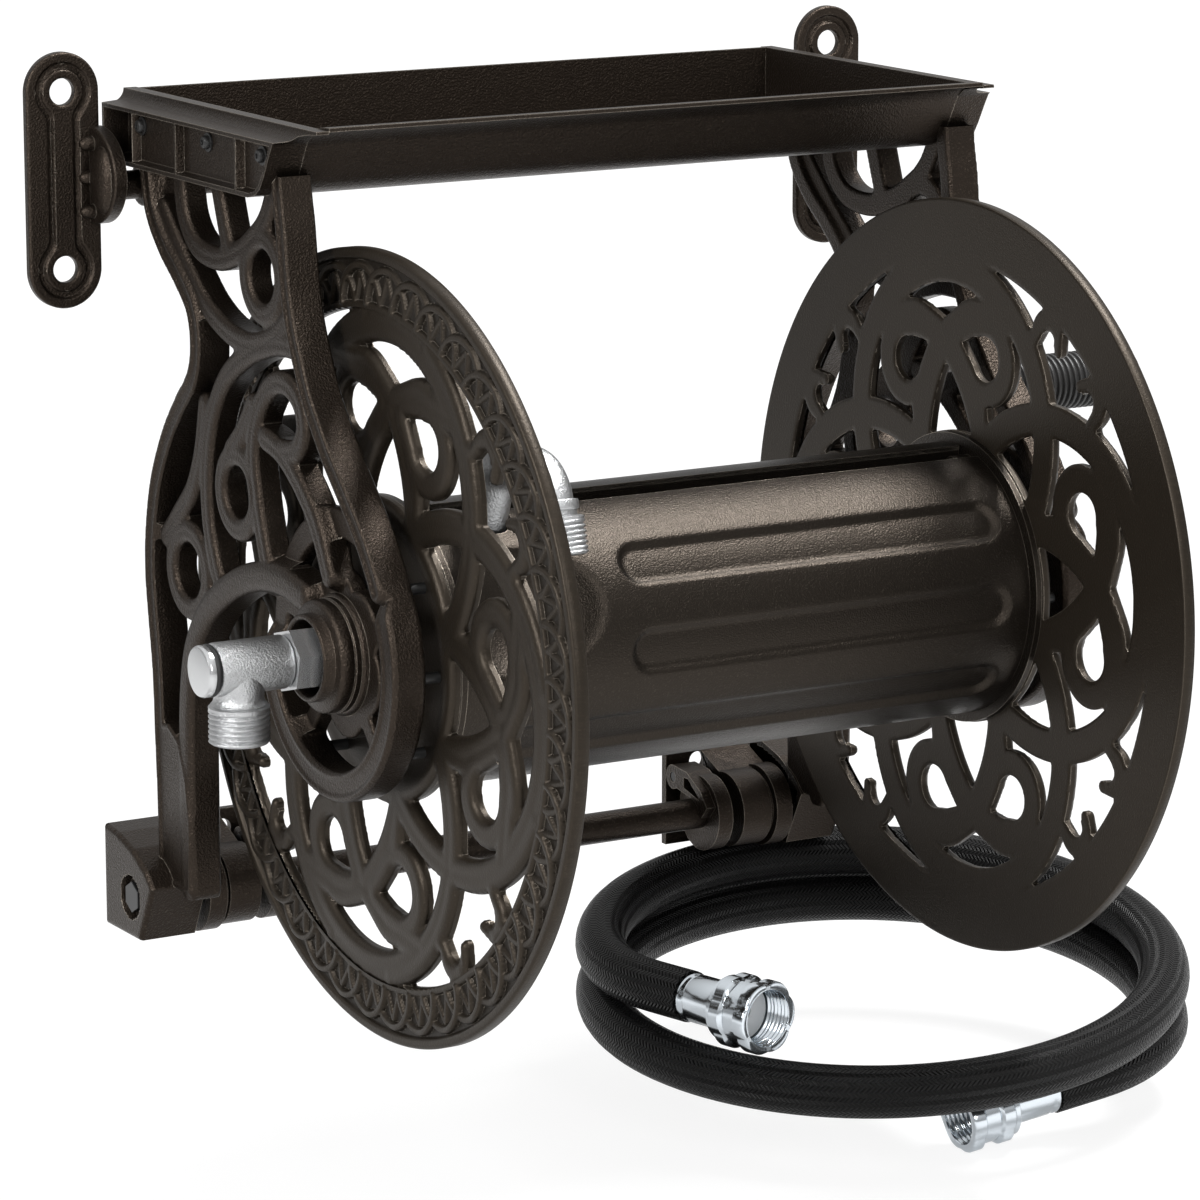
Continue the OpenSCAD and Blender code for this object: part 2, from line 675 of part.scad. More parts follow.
// A radial prism with a flute's outline, grown by g all round
module flute_prism(f, g) {
    at_angle(f[0]) translate([(f[1] + f[2]) / 2, -drum_d / 2 + 12, 0]) rotate([90, 0, 0])
        linear_extrude(20) stadium(f[2] - f[1] - flute_w, flute_w + 2 * g);
}
// Drum: one rolled sheet with a slot for the outlet along its top, pressed flutes and a dish
module drum_sheet() {
    r = drum_d / 2;
    l = reel_w - 2 * plate_gap;
    color(drum_bronze) at_axle() difference() {
        union() {
            tube_x(l, r, shell_t);
            // Metal round and under the flutes and the dish
            for (f = flutes) intersection() {
                tube_x(l - 2, r - 0.2, shell_t + flute_depth - 0.2);
                flute_prism(f, 2);
            }
            intersection() {
                bar_x(-l / 2 + 1, l / 2, r - 0.3);
                at_dish() sphere(dish_r + shell_t);
            }
            // Edges turned in along the slot
            for (s = [0, 1]) at_angle(slot_at) mirror([0, 0, s])
                translate([-l / 2 + 0.5, -r + 1.2, slot_w / 2 - 1]) cube([l - 1, 8, shell_t + 1]);
        }
        for (f = flutes) intersection() {
            tube_x(l, r + 4, 4 + flute_depth);
            flute_prism(f, 0);
        }
        at_dish() sphere(dish_r);
        at_angle(slot_at) translate([-reel_w, -2 * r, -slot_w / 2]) cube([2 * reel_w, 2 * r, slot_w]);
        // Notch for the outlet
        outlet_frame() cylinder(h = 2 * r, r = outlet_d / 2 + 2);
    }
}

// Hub castings that carry the shells and the journals inside the drum
module drum_hub(journal_r) {
    x1 = disc_in;
    difference() {
        union() {
            bar_x(x1, x1 + plate_gap - gap, hub_r - 0.5);
            bar_x(x1, x1 + 9, drum_d / 2 - shell_t - flute_depth - fit);
            bar_x(x1, x1 + 26, journal_r + 6);
            for (a = [0:screw_step:359]) rotate([a + first_screw, 0, 0])
                bar_x(x1, x1 + 12, 4.6, [-screw_r + 0.6, 0]);
        }
        bar_x(x1 - 1, x1 + 27, journal_r);
        for (a = [0:screw_step:359]) rotate([a + first_screw, 0, 0])
            bar_x(x1 - 1, x1 + 13, screw_d / 2, [-screw_r, 0]);
        for (a = [screw_step / 2:screw_step:359]) rotate([a + first_screw, 0, 0])
            bar_x(x1 - 1, x1 + 10, 8, [-36, 0]);
        // Notches for the sheet's edges, which turn in along the slot
        for (s = [0, 1]) at_angle(slot_at) mirror([0, 0, s])
            translate([x1 + plate_gap - gap, -drum_d / 2 - 1, slot_w / 2 - gap])
                cube([30, 10.5, shell_t + 2 * gap]);
    }
}
// The left hub also gives way to the dish
module drum_hub_left() {
    color(bronze) at_axle() difference() {
        drum_hub(tube_d / 2 + fit);
        intersection() {
            at_dish() sphere(dish_r + shell_t + gap);
            bar_x(disc_in + plate_gap - gap, 0, drum_d / 2);
        }
    }
}
module drum_hub_right() { color(bronze) at_axle() to_right() drum_hub(shaft_d / 2 + fit); }
module disc_screws() {
    color(black) at_axle() for (side = [0, 1], a = [0:screw_step:359]) mirror([side, 0, 0])
        rotate([a + first_screw, 0, 0]) bar_x(frame_in + 1.2, disc_in + 7, screw_d / 2 - fit, [-screw_r, 0]);
}

// Water tube: left journal, hexagon and spigot in one piece, closed at its inner end
tube_end = outlet_x + 16;
hex_in = boss_out + 9;
hex_out = boss_out - 9;
elbow_out = hex_out - 37;
spigot_r = tube_d / 2 - 3;
module water_tube() {
    color(silver) at_axle() difference() {
        union() {
            bar_x(hex_in - 1, tube_end, tube_d / 2);
            translate([hex_out, 0, 0]) rotate([0, 90, 0]) rotate(15)
                cylinder(h = hex_in - hex_out, d = hex_af / cos(30), $fn = 6);
            bar_x(elbow_out - 0.5, hex_out + 1, spigot_r);
        }
        bar_x(elbow_out - 4, tube_end - 5, water_d / 2);
        outlet_frame() cylinder(h = 30, r = 8 + fit);
    }
}
// Outlet gooseneck: out of the water tube, forward over the drum and down to a male hose thread
outlet_lean = 22;
outlet_d = 19;
outlet_rise = 78.7;
bend_a = 20;
bend_b = 16;
end_lean = 15;
// Places its children on the water tube, with Z along the gooseneck's first leg
module outlet_frame() { translate([outlet_x, 0, 0]) rotate([outlet_lean, 0, 0]) children(); }
// Centre line of the gooseneck in its own plane, as [y, z, turn] with the turn from Z towards -Y
turn_a = 90 - outlet_lean;
turn_b = 180 - outlet_lean - end_lean;
top_run = outlet_out - bend_b - outlet_rise * sin(outlet_lean) - bend_a * cos(outlet_lean);
bend_steps = 6;
function on_bend(c, r, t) = [c[0] + r * cos(t), c[1] + r * sin(t), t];
centre_a = [-bend_a, outlet_rise];
centre_b = centre_a + top_run * [-sin(turn_a), cos(turn_a)] + (bend_a - bend_b) * [cos(turn_a), sin(turn_a)];
goose_path = concat([[0, tube_d / 2 + 1, 0]],
    [for (i = [0:bend_steps]) on_bend(centre_a, bend_a, turn_a * i / bend_steps)],
    [for (i = [0:bend_steps]) on_bend(centre_b, bend_b, turn_a + (turn_b - turn_a) * i / bend_steps)]);
goose_end = goose_path[len(goose_path) - 1];
// A round bar of radius r along the gooseneck, run on by e at its end
module goose_bar(r, e = 0) {
    n = 16;
    t = goose_end[2];
    path = concat(goose_path, e > 0 ? [[goose_end[0] - e * sin(t), goose_end[1] + e * cos(t), t]] : []);
    polyhedron(points = [for (p = path, k = [0:n - 1])
        let (u = r * cos(k * 360 / n), v = r * sin(k * 360 / n))
            [u, p[0] + v * cos(p[2]), p[1] + v * sin(p[2])]], faces = tube_faces(len(path), n));
}
// Faces of a tube with closed ends, of a given count of rings of n points each
function tube_faces(rings, n) = concat([[for (k = [0:n - 1]) k]],
    [for (i = [0:rings - 2], k = [0:n - 1]) each [
        [i * n + k, (i + 1) * n + k, i * n + (k + 1) % n],
        [i * n + (k + 1) % n, (i + 1) * n + k, (i + 1) * n + (k + 1) % n]]],
    [[for (k = [n - 1:-1:0]) (rings - 1) * n + k]]);
// Places its children at the end of the gooseneck, with Z along the thread
module goose_tip() { translate([0, goose_end[0], goose_end[1]]) rotate([goose_end[2], 0, 0]) children(); }
module outlet_elbow() {
    color(silver) at_axle() outlet_frame() difference() {
        union() {
            goose_bar(outlet_d / 2);
            goose_tip() translate([0, 0, -0.5]) cylinder(h = 4.5, r = 11.5);
            goose_tip() cylinder(h = 6 + thread_l - 1, r = thread_d / 2 - 3);
            goose_tip() translate([0, 0, 6]) cylinder(h = thread_l, d = thread_d);
            translate([0, 0, 6.5]) cylinder(h = tube_d / 2, r = 8);
        }
        goose_bar(water_d / 2, 1);
        translate([0, 0, 5]) cylinder(h = tube_d / 2 - 3, r = water_d / 2 - 0.3);
        goose_tip() translate([0, 0, 0.5]) cylinder(h = thread_l + 10, r = water_d / 2 + 0.3);
    }
}
// Places its children at the centre of the dish's sphere
module at_dish() {
    at_angle(22) translate([outlet_x, -drum_d / 2 - sqrt(dish_r * dish_r - dish_mouth * dish_mouth), 0])
        children();
}

// Inlet elbow that swivels on the spigot, with its threaded branch hanging down
inlet_x = elbow_out + 15;
module inlet_elbow() {
    color(silver) at_axle() difference() {
        union() {
            bar_x(elbow_out + 2.6, hex_out - gap, spigot_r + 3.5);
            translate([inlet_x, 0, -20]) cylinder(h = 18, r = 10.5);
            translate([inlet_x, 0, -33]) cylinder(h = thread_l, d = thread_d);
        }
        bar_x(elbow_out - 1, hex_out + 1, spigot_r + fit);
        translate([inlet_x, 0, -34]) cylinder(h = 34, r = water_d / 2);
    }
}
module inlet_o_rings() {
    color(black) at_axle() translate([elbow_out + 1, 0, 0]) rotate([0, 90, 0]) rotate_extrude()
        translate([spigot_r + 1.9, 0]) circle(1.5);
}
module inlet_cap() { color(silver) at_axle() bar_x(elbow_out - 4, elbow_out - 0.5, spigot_r + 3.2); }

// Crank: shaft, arm with its bolt, pin and turning grip, behind the right side frame
crank_x = -boss_out + 3;
grip_x = crank_x + 13;
function on_crank(r) = [r * sin(crank_turn), r * cos(crank_turn)];
module crank_shaft() {
    color(silver) at_axle() difference() {
        bar_x(-disc_in - 28, crank_x + 7, shaft_d / 2);
        bar_x(crank_x - 16, crank_x + 8, 4);
    }
}
module crank_arm() {
    color(bronze) at_axle() difference() {
        union() {
            bar_x(crank_x - 2.4, crank_x + 9, 17);
            bar_x(crank_x + 1, crank_x + 12, pin_d / 2 + 6, on_crank(crank_r));
            along_x(crank_x + 1, crank_x + 8) rotate(90 - crank_turn) polygon([[0, -13], [0, 13],
                [crank_r * 0.5, 7], [crank_r, 8], [crank_r, -8], [crank_r * 0.5, -7]]);
        }
        bar_x(crank_x - 3, crank_x + 7, shaft_d / 2 + fit);
        bar_x(crank_x, crank_x + 10, 4.2);
        bar_x(crank_x, crank_x + 13, pin_d / 2, on_crank(crank_r));
    }
}
module crank_bolt() {
    color(silver) at_axle() {
        bar_x(crank_x - 15, crank_x + 9, 3.95);
        translate([crank_x + 9, 0, 0]) rotate([0, 90, 0]) cylinder(h = 5.5, d = 13 / cos(30), $fn = 6);
    }
}
module grip_pin() {
    color(silver) at_axle() {
        bar_x(crank_x + 2, grip_x + grip_l - 6, pin_d / 2, on_crank(crank_r));
        bar_x(grip_x + grip_l - 8, grip_x + grip_l - 5, pin_d / 2 + 3, on_crank(crank_r));
    }
}
// Grip turned with rings along its length
module crank_grip() {
    ring_pitch = 3.1;
    rings = floor((grip_l - 10) / ring_pitch);
    p = on_crank(crank_r);
    color(black) at_axle() translate([grip_x, p[0], p[1]]) rotate([0, 90, 0]) difference() {
        rotate_extrude() polygon(concat([[0, 0], [grip_d / 2 - 3, 0], [grip_d / 2 - 1, 2]],
            [for (i = [0:rings - 1], k = [0, 1, 2]) [grip_d / 2 - (k == 1 ? 0 : 1.1),
                4 + (i + k / 2.5) * ring_pitch]],
            [[grip_d / 2 - 1, grip_l - 3], [grip_d / 2 - 3, grip_l], [0, grip_l]]));
        translate([0, 0, -1]) cylinder(h = grip_l, r = pin_d / 2 + fit);
        translate([0, 0, grip_l - 9]) cylinder(h = 10, r = pin_d / 2 + 4);
    }
}
module grip_cap() {
    p = on_crank(crank_r);
    color(black) at_axle() translate([grip_x + grip_l, p[0], p[1]]) rotate([0, 90, 0]) {
        translate([0, 0, -3.9]) cylinder(h = 4, r = pin_d / 2 + 4 - fit);
        rotate_extrude() intersection() {
            translate([0, -18]) circle(22.5);
            square([grip_d / 2 - 2.2, 10]);
        }
    }
}

// Leader hose: a coil of almost two turns that leans on the wall below the reel
coil_at = [145, 55.5, -183.7];
coil_side = 35;
coil_start = 215;
coil_end = -389;
end_turn = 30;
first_lift = 2;
last_drop = 2;
first_inset = 8;
last_inset = 18;
hose_rings = 24;
hose_sides = 6;
coil_right = [cos(coil_side), -sin(coil_side), 0];
coil_back = [sin(coil_side) * cos(coil_lean), cos(coil_side) * cos(coil_lean), sin(coil_lean)];
coil_up = cross(coil_right, coil_back);
// How far the angle a lies into the last stretch before the end e, squared so that it bends in
function near_end(a, e) = pow(max(0, 1 - abs(a - e) / end_turn), 2);
// Height of the coil over its plane at the angle a: it falls by one pitch in each turn, and its
// first end is lifted and its last end lowered to clear the couplings
function coil_height(a) = -coil_pitch * (coil_start - a) / 360
    + first_lift * near_end(a, coil_start) - last_drop * near_end(a, coil_end);
// Radius of the coil at the angle a: both ends bend inwards
function coil_radius(a) = coil_r - first_inset * near_end(a, coil_start) - last_inset * near_end(a, coil_end);
// A point of the coil at the angle a
function coil_point(a) = coil_at + coil_radius(a) * (cos(a) * coil_right + sin(a) * coil_back)
    + coil_up * coil_height(a);
function unit(v) = v / norm(v);
dir_a = unit(coil_point(coil_start) - coil_point(coil_start - 1));
dir_b = unit(coil_point(coil_end) - coil_point(coil_end + 1));
hose_tip_a = coil_point(coil_start) + dir_a * hose_d;
hose_tip_b = coil_point(coil_end) + dir_b * hose_d;
hose_steps = ceil((coil_start - coil_end) / 360 * hose_rings);
hose_path = concat([hose_tip_a], [for (i = [0:hose_steps])
    coil_point(coil_start + (coil_end - coil_start) * i / hose_steps)], [hose_tip_b]);
hose_last = len(hose_path) - 1;
// Direction of the hose at point i of its path
function hose_dir(i) = i == 0 ? -dir_a : i == hose_last ? dir_b
    : unit(hose_path[i + 1] - hose_path[i - 1]);
// Ring of points round the hose at point i
function hose_ring(i) = let (d = hose_dir(i), u = unit(cross(coil_up, d)), v = cross(d, u))
    [for (k = [0:hose_sides - 1]) let (a = k * 360 / hose_sides)
        hose_path[i] + hose_d / 2 * (cos(a) * u + sin(a) * v)];
// Length of the path p up to its point i
function length_to(p, i) = i == 0 ? 0 : norm(p[i] - p[i - 1]) + length_to(p, i - 1);
hose_length = length_to(hose_path, hose_last);
// Least gap between two turns, over points that lie about one turn apart
hose_gap = min([for (a = [coil_start:-4:coil_end + 360], t = [-12:3:12])
    norm(coil_point(a) - coil_point(max(coil_end, a - 360 + t)))]) - hose_d;
echo(hose_gap = hose_gap, hose_length = hose_length);
module leader_hose() {
    color(black) at_axle() polyhedron(points = [for (i = [0:hose_last]) each hose_ring(i)],
        faces = tube_faces(hose_last + 1, hose_sides));
}
// Places its children at the point p with Z along the direction d
module facing(p, d) { translate(p) rotate([0, acos(d[2]), atan2(d[1], d[0])]) children(); }
// Crimped ferrule, with the tail and flange that the nut turns on
tail_r = 9.5;
module ferrule(p, d) {
    color(silver) at_axle() facing(p, d) difference() {
        union() {
            cylinder(h = ferrule_l, d = ferrule_d);
            cylinder(h = ferrule_l + 9, r = tail_r);
            translate([0, 0, ferrule_l + 6]) cylinder(h = 3, r = 11.5);
        }
        translate([0, 0, 3]) cylinder(h = ferrule_l + 10, r = water_d / 2);
    }
}
module ferrule_a() { ferrule(hose_tip_a, dir_a); }
module ferrule_b() { ferrule(hose_tip_b, dir_b); }
// Swivel nut: a hexagon between two bands with rounded corners, and a threaded socket
module hose_nut(p, d) {
    color(silver) at_axle() facing(p, d) translate([0, 0, ferrule_l + gap]) difference() {
        union() {
            cylinder(h = nut_l, d = nut_d - 4);
            for (z = [3.5, nut_l - 7]) translate([0, 0, z]) intersection() {
                cylinder(h = 7, d = nut_d);
                cylinder(h = 7, d = (nut_d - 1.5) / cos(30), $fn = 6);
            }
        }
        translate([0, 0, -1]) cylinder(h = 8, r = tail_r + 0.08);
        translate([0, 0, 5.4]) cylinder(h = 6.6, r = thread_d / 2 + 0.6);
        translate([0, 0, 11.9]) cylinder(h = nut_l, r = thread_d / 2 + 0.1);
    }
}
module hose_nut_a() { hose_nut(hose_tip_a, dir_a); }
module hose_nut_b() { hose_nut(hose_tip_b, dir_b); }
// Rubber washers against the ferrules' flanges, inside the nuts
module nut_washer(p, d) {
    facing(p, d) translate([0, 0, ferrule_l + 9]) difference() {
        cylinder(h = 2.6, r = 12);
        translate([0, 0, -1]) cylinder(h = 5, r = 7);
    }
}
module nut_washers() {
    color(black) at_axle() {
        nut_washer(hose_tip_a, dir_a);
        nut_washer(hose_tip_b, dir_b);
    }
}

side_frame_left();
side_frame_right();
tray_pan();
tray_end_left();
tray_end_right();
tray_screws();
upper_rod();
lower_rod();
rod_end_bolts();
wall_plate_left();
wall_plate_right();
rod_knuckle_left();
rod_knuckle_right();
lower_bracket_left();
lower_bracket_right();
bracket_hook_left();
bracket_hook_right();
hook_pins();
bushing_left();
bushing_right();
disc_left();
disc_right();
drum_sheet();
drum_hub_left();
drum_hub_right();
disc_screws();
water_tube();
outlet_elbow();
crank_shaft();
crank_arm();
crank_bolt();
grip_pin();
crank_grip();
grip_cap();
inlet_elbow();
inlet_o_rings();
inlet_cap();
leader_hose();
ferrule_a();
ferrule_b();
hose_nut_a();
hose_nut_b();
nut_washers();
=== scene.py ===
"""Looks of a wall mounted hose reel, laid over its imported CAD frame.

Every new piece is a surface worked out with numpy in millimetres about the axle (X to the crank, Y to the
wall, Z up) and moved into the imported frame, in metres, as its last step.
"""

import logging
import math
from collections.abc import Callable, Sequence
from dataclasses import dataclass, field
from enum import Enum
from typing import Any

import bmesh
import bpy
import numpy as np
from mathutils import Matrix, Vector
from numpy.typing import NDArray


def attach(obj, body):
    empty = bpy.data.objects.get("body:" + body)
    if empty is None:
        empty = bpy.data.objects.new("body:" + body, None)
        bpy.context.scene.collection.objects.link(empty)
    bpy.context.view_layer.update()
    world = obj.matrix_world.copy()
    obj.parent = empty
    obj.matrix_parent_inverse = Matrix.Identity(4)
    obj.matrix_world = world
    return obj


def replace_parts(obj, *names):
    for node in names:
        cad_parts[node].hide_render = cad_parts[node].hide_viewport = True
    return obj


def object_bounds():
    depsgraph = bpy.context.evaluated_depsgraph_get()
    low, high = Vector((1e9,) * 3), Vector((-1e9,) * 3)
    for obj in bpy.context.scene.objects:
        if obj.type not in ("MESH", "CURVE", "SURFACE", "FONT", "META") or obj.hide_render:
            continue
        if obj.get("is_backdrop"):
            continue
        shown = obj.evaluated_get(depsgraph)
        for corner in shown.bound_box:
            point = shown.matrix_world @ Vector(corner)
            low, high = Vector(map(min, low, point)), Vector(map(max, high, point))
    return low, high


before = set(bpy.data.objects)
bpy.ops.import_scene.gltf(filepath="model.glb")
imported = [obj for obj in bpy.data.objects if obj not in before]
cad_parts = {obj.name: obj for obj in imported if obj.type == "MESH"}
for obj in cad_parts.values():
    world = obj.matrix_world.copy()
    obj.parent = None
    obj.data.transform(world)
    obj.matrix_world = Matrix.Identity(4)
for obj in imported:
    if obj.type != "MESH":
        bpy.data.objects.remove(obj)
cad_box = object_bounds()

Floats = NDArray[np.float64]
Plane = tuple[Floats, Floats]
Field = Callable[[Plane], Floats]
Placing = Callable[[Floats, Floats, Floats], Floats]

AXLE = np.array([0.0, -203.0, -182.0])
LOG = logging.getLogger("hose reel")

# Points closer than these, in metres, are one: in a new mesh, in a thin face, and in a CAD node's copy
DOUBLES_M = 2e-6
DEGENERATE_M = 1e-6
CAD_DOUBLES_M = 3e-6
# A grid point moves onto an outline from this share of a square, down a slope of at least this, squared
NEAR_SHARE = 0.38
LEAST_SLOPE = 0.3
# How far inside its edges a casting's wall has its two extra rows, in mm
WALL_ROW = 0.25


# Colour and nodes


def linear(code: str) -> tuple[float, float, float, float]:
    """Turns an sRGB hex colour into linear RGBA.

    A share c becomes c/12.92 up to 0.04045, and ((c + 0.055)/1.055) to the power of 2.4 above it.

    Args:
        code: The colour as #rrggbb.

    Returns:
        Red, green, blue and an alpha of 1.
    """
    values = [int(code[i : i + 2], 16) / 255 for i in (1, 3, 5)]
    r, g, b = (c / 12.92 if c <= 0.04045 else ((c + 0.055) / 1.055) ** 2.4 for c in values)
    return r, g, b, 1.0


def add(tree: bpy.types.NodeTree, kind: str, inputs: dict[Any, Any] | None = None,
        **settings: Any) -> bpy.types.Node:
    """Adds one node to a tree.

    Args:
        tree: The material's or world's node tree.
        kind: Type of the node.
        inputs: A value or an output socket for each input, by name or place.
        settings: Properties of the node itself.

    Returns:
        The new node.
    """
    node = tree.nodes.new(kind)
    for name, value in settings.items():
        setattr(node, name, value)
    for key, value in (inputs or {}).items():
        if isinstance(value, bpy.types.NodeSocket):
            tree.links.new(value, node.inputs[key])
        else:
            node.inputs[key].default_value = value
    return node


def per_metre(millimetres: float) -> float:
    """Scale of a pattern on Object coordinates whose features are this many millimetres apart."""
    return 1000.0 / millimetres


@dataclass(frozen=True)
class Finish:
    """A surface finish: what the real one is made of, and how it was worked."""

    name: str
    colour: str
    roughness: float
    metallic: float = 0.0
    ior: float = 1.5

    def material(self) -> bpy.types.Material:
        """Returns this finish's material, made once."""
        found = bpy.data.materials.get(self.name)
        if found:
            return found
        made = bpy.data.materials.new(self.name)
        made.use_nodes = True
        tree = made.node_tree
        tree.nodes.clear()
        shader = add(tree, "ShaderNodeBsdfPrincipled", {
            "Base Color": linear(self.colour), "Roughness": self.roughness,
            "Metallic": self.metallic, "IOR": self.ior})
        self.dress(tree, shader)
        add(tree, "ShaderNodeOutputMaterial", {"Surface": shader.outputs[0]})
        return made

    def dress(self, tree: bpy.types.NodeTree, shader: bpy.types.Node) -> None:
        """Adds the finish's pattern to its shader; a plain finish has none."""


@dataclass(frozen=True)
class PowderCoat(Finish):
    """Bronze powder coat, baked on: metal flake in a clear film, with a fine orange peel over all of it."""

    metallic: float = 0.8
    specular: float = 0.25
    grain_mm: float = 1.0
    peel: float = 0.75
    peel_mm: float = 0.6
    fleck: str = "#51483e"
    fleck_from: float = 0.58
    fleck_full: float = 0.85
    # Painted highlight: a pale colour mixed in along every edge, in place of the edges' glint
    edge: str = "#a1988c"
    edge_mm: float = 0.7
    edge_from: float = 0.99
    edge_full: float = 0.8
    edge_share: float = 0.75
    # Painted shade: the colour that the lace's recesses are darkened towards
    painted_recess_shade: str = "#0c0a08"

    def dress(self, tree: bpy.types.NodeTree, shader: bpy.types.Node) -> None:
        """Adds the peel as a bump, flecks where its grains stand proud, painted shade in the lace's hollows,
        and a pale painted highlight along edges.

        The edge line is found by comparing the surface with itself rounded off: the two normals part there.
        """
        place = add(tree, "ShaderNodeTexCoord").outputs["Object"]
        # The real grain is about 0.5 mm; it is drawn coarser so that it shows at this distance
        peel = add(tree, "ShaderNodeTexNoise", {
            "Vector": place, "Scale": per_metre(self.grain_mm), "Detail": 2.0, "Roughness": 0.55})
        bump = add(tree, "ShaderNodeBump", {
            "Strength": self.peel, "Distance": self.peel_mm / 1000, "Height": peel.outputs["Fac"]})
        speck = add(tree, "ShaderNodeMapRange", {
            "Value": peel.outputs["Fac"], "From Min": self.fleck_from, "From Max": self.fleck_full})
        tone = add(tree, "ShaderNodeMix", {
            "Factor": speck.outputs["Result"], "A": linear(self.colour), "B": linear(self.fleck)},
            data_type="RGBA")
        # Painted shade: the bottom of the relief is darkened as if in shadow; only the lace holds this
        # attribute
        deep = add(tree, "ShaderNodeAttribute", attribute_name="painted_recess_shade")
        tone = add(tree, "ShaderNodeMix", {
            "Factor": deep.outputs["Fac"], "A": tone.outputs["Result"], "B": linear(self.painted_recess_shade)},
            data_type="RGBA")
        # Painted highlight: edges get a pale colour where the rounded normal parts from the true one
        rounded = add(tree, "ShaderNodeBevel", {"Radius": self.edge_mm / 1000}, samples=4)
        same = add(tree, "ShaderNodeVectorMath", {
            0: rounded.outputs["Normal"], 1: add(tree, "ShaderNodeNewGeometry").outputs["Normal"]},
            operation="DOT_PRODUCT")
        painted_edge_highlight = add(tree, "ShaderNodeMapRange", {
            "Value": same.outputs["Value"], "From Min": self.edge_from, "From Max": self.edge_full,
            "To Max": self.edge_share})
        tone_with_painted_highlight = add(tree, "ShaderNodeMix", {
            "Factor": painted_edge_highlight.outputs["Result"], "A": tone.outputs["Result"], "B": linear(self.edge)},
            data_type="RGBA")
        tree.links.new(tone_with_painted_highlight.outputs["Result"], shader.inputs["Base Color"])
        tree.links.new(bump.outputs["Normal"], shader.inputs["Normal"])
        shader.inputs["Specular IOR Level"].default_value = self.specular


@dataclass(frozen=True)
class CastMetal(Finish):
    """Bare zinc as it left the mould and the tumbler: bright, with a shallow grain."""

    metallic: float = 0.92
    grain_mm: float = 1.0
    depth: float = 0.8
    depth_mm: float = 0.6

    def dress(self, tree: bpy.types.NodeTree, shader: bpy.types.Node) -> None:
        """Adds the grain as a bump."""
        place = add(tree, "ShaderNodeTexCoord").outputs["Object"]
        grain = add(tree, "ShaderNodeTexNoise", {
            "Vector": place, "Scale": per_metre(self.grain_mm), "Detail": 3.0, "Roughness": 0.6})
        bump = add(tree, "ShaderNodeBump", {
            "Strength": self.depth, "Distance": self.depth_mm / 1000, "Height": grain.outputs["Fac"]})
        tree.links.new(bump.outputs["Normal"], shader.inputs["Normal"])


@dataclass(frozen=True)
class WovenCover(Finish):
    """Textile cover of the hose: a tight chevron weave over black rubber, drawn on the hose's own UV."""

    around: int = 32
    pitch_mm: float = 2.2
    thread_mm: float = 0.7
    gap: str = "#020202"
    specular: float = 0.2

    def dress(self, tree: bpy.types.NodeTree, shader: bpy.types.Node) -> None:
        """Adds the weave: wales run along the hose, and the threads lean to and fro from wale to wale."""
        uv = add(tree, "ShaderNodeSeparateXYZ", {0: add(tree, "ShaderNodeTexCoord").outputs["UV"]})

        def math_node(kind: str, *values: Any) -> bpy.types.NodeSocket:
            """A Math node's result."""
            return add(tree, "ShaderNodeMath", dict(enumerate(values)), operation=kind).outputs[0]

        turn = math_node("MULTIPLY", uv.outputs["X"], float(self.around))
        # Distance across one wale, up and down like a roof, so that neighbours mirror each other
        roof = math_node("PINGPONG", turn, 1.0)
        run = math_node("MULTIPLY", uv.outputs["Y"], 1.0 / self.pitch_mm)
        wave = math_node("SINE", math_node("MULTIPLY", math_node("ADD", run, roof), 2 * math.pi))
        cord = math_node("MULTIPLY_ADD", wave, 0.5, 0.5)
        bump = add(tree, "ShaderNodeBump", {
            "Strength": 1.0, "Distance": self.thread_mm / 1000, "Height": cord})
        tone = add(tree, "ShaderNodeMix", {
            "Factor": cord, "A": linear(self.gap), "B": linear(self.colour)}, data_type="RGBA")
        shader.inputs["Specular IOR Level"].default_value = self.specular
        tree.links.new(tone.outputs["Result"], shader.inputs["Base Color"])
        tree.links.new(bump.outputs["Normal"], shader.inputs["Normal"])


# Powder coated castings, rods and bent sheet: dark brown metal, softly lit, with a pale painted highlight
# along its edges
BRONZE = PowderCoat("bronze_powder_coat", "#312a24", 0.34)
# The same coat where it flowed out on the flat discs: finer, with a calm, duller face
DISC_BRONZE = PowderCoat("bronze_powder_coat_fine", "#302a23", 0.4, metallic=0.65, grain_mm=0.9, peel=0.25,
                         fleck="#433c33")
# The same coat on rolled sheet: smoother, so that long bands of light run along the drum
DRUM_BRONZE = PowderCoat("drum_powder_coat", "#302b26", 0.3, metallic=0.9, grain_mm=0.75, peel=0.5,
                         fleck="#4c473f")
# Zinc, cast and tumbled: bright silver, with a grain that breaks up what it mirrors
CAST_ZINC = CastMetal("tumbled_zinc_casting", "#b6b7b8", 0.28)
# Turned zinc and zinc plated steel: clean and bright, almost without grain
BRIGHT_ZINC = CastMetal("machined_zinc_steel", "#c4c5c6", 0.24, metallic=0.85, grain_mm=3.0, depth=0.02)
# Brass under polished chrome: a cool mirror, with the studio's light and dark in sharp bands
CHROME = Finish("chromed_brass", "#d3dae0", 0.16, metallic=1.0)
# Screws and pins of black oxide steel: near black, with a small dull highlight
BLACK_STEEL = Finish("black_oxide_steel", "#1a1a1a", 0.38)
# Moulded polypropylene: black, with a satin sheen along the grip's rings
BLACK_PLASTIC = Finish("black_polypropylene", "#171615", 0.45)
# Moulded rubber seal: black and matt
BLACK_RUBBER = Finish("black_rubber_seal", "#131313", 0.55)
# Moulded pale rubber washers: light and matt inside the nuts' mouths
PALE_RUBBER = Finish("grey_rubber_washer", "#c9ccce", 0.45)
# Woven polyester over rubber: deep black, with fine glints along its threads
HOSE_COVER = WovenCover("woven_hose_cover", "#0b0a0a", 0.38)


# Plane drawing with distances


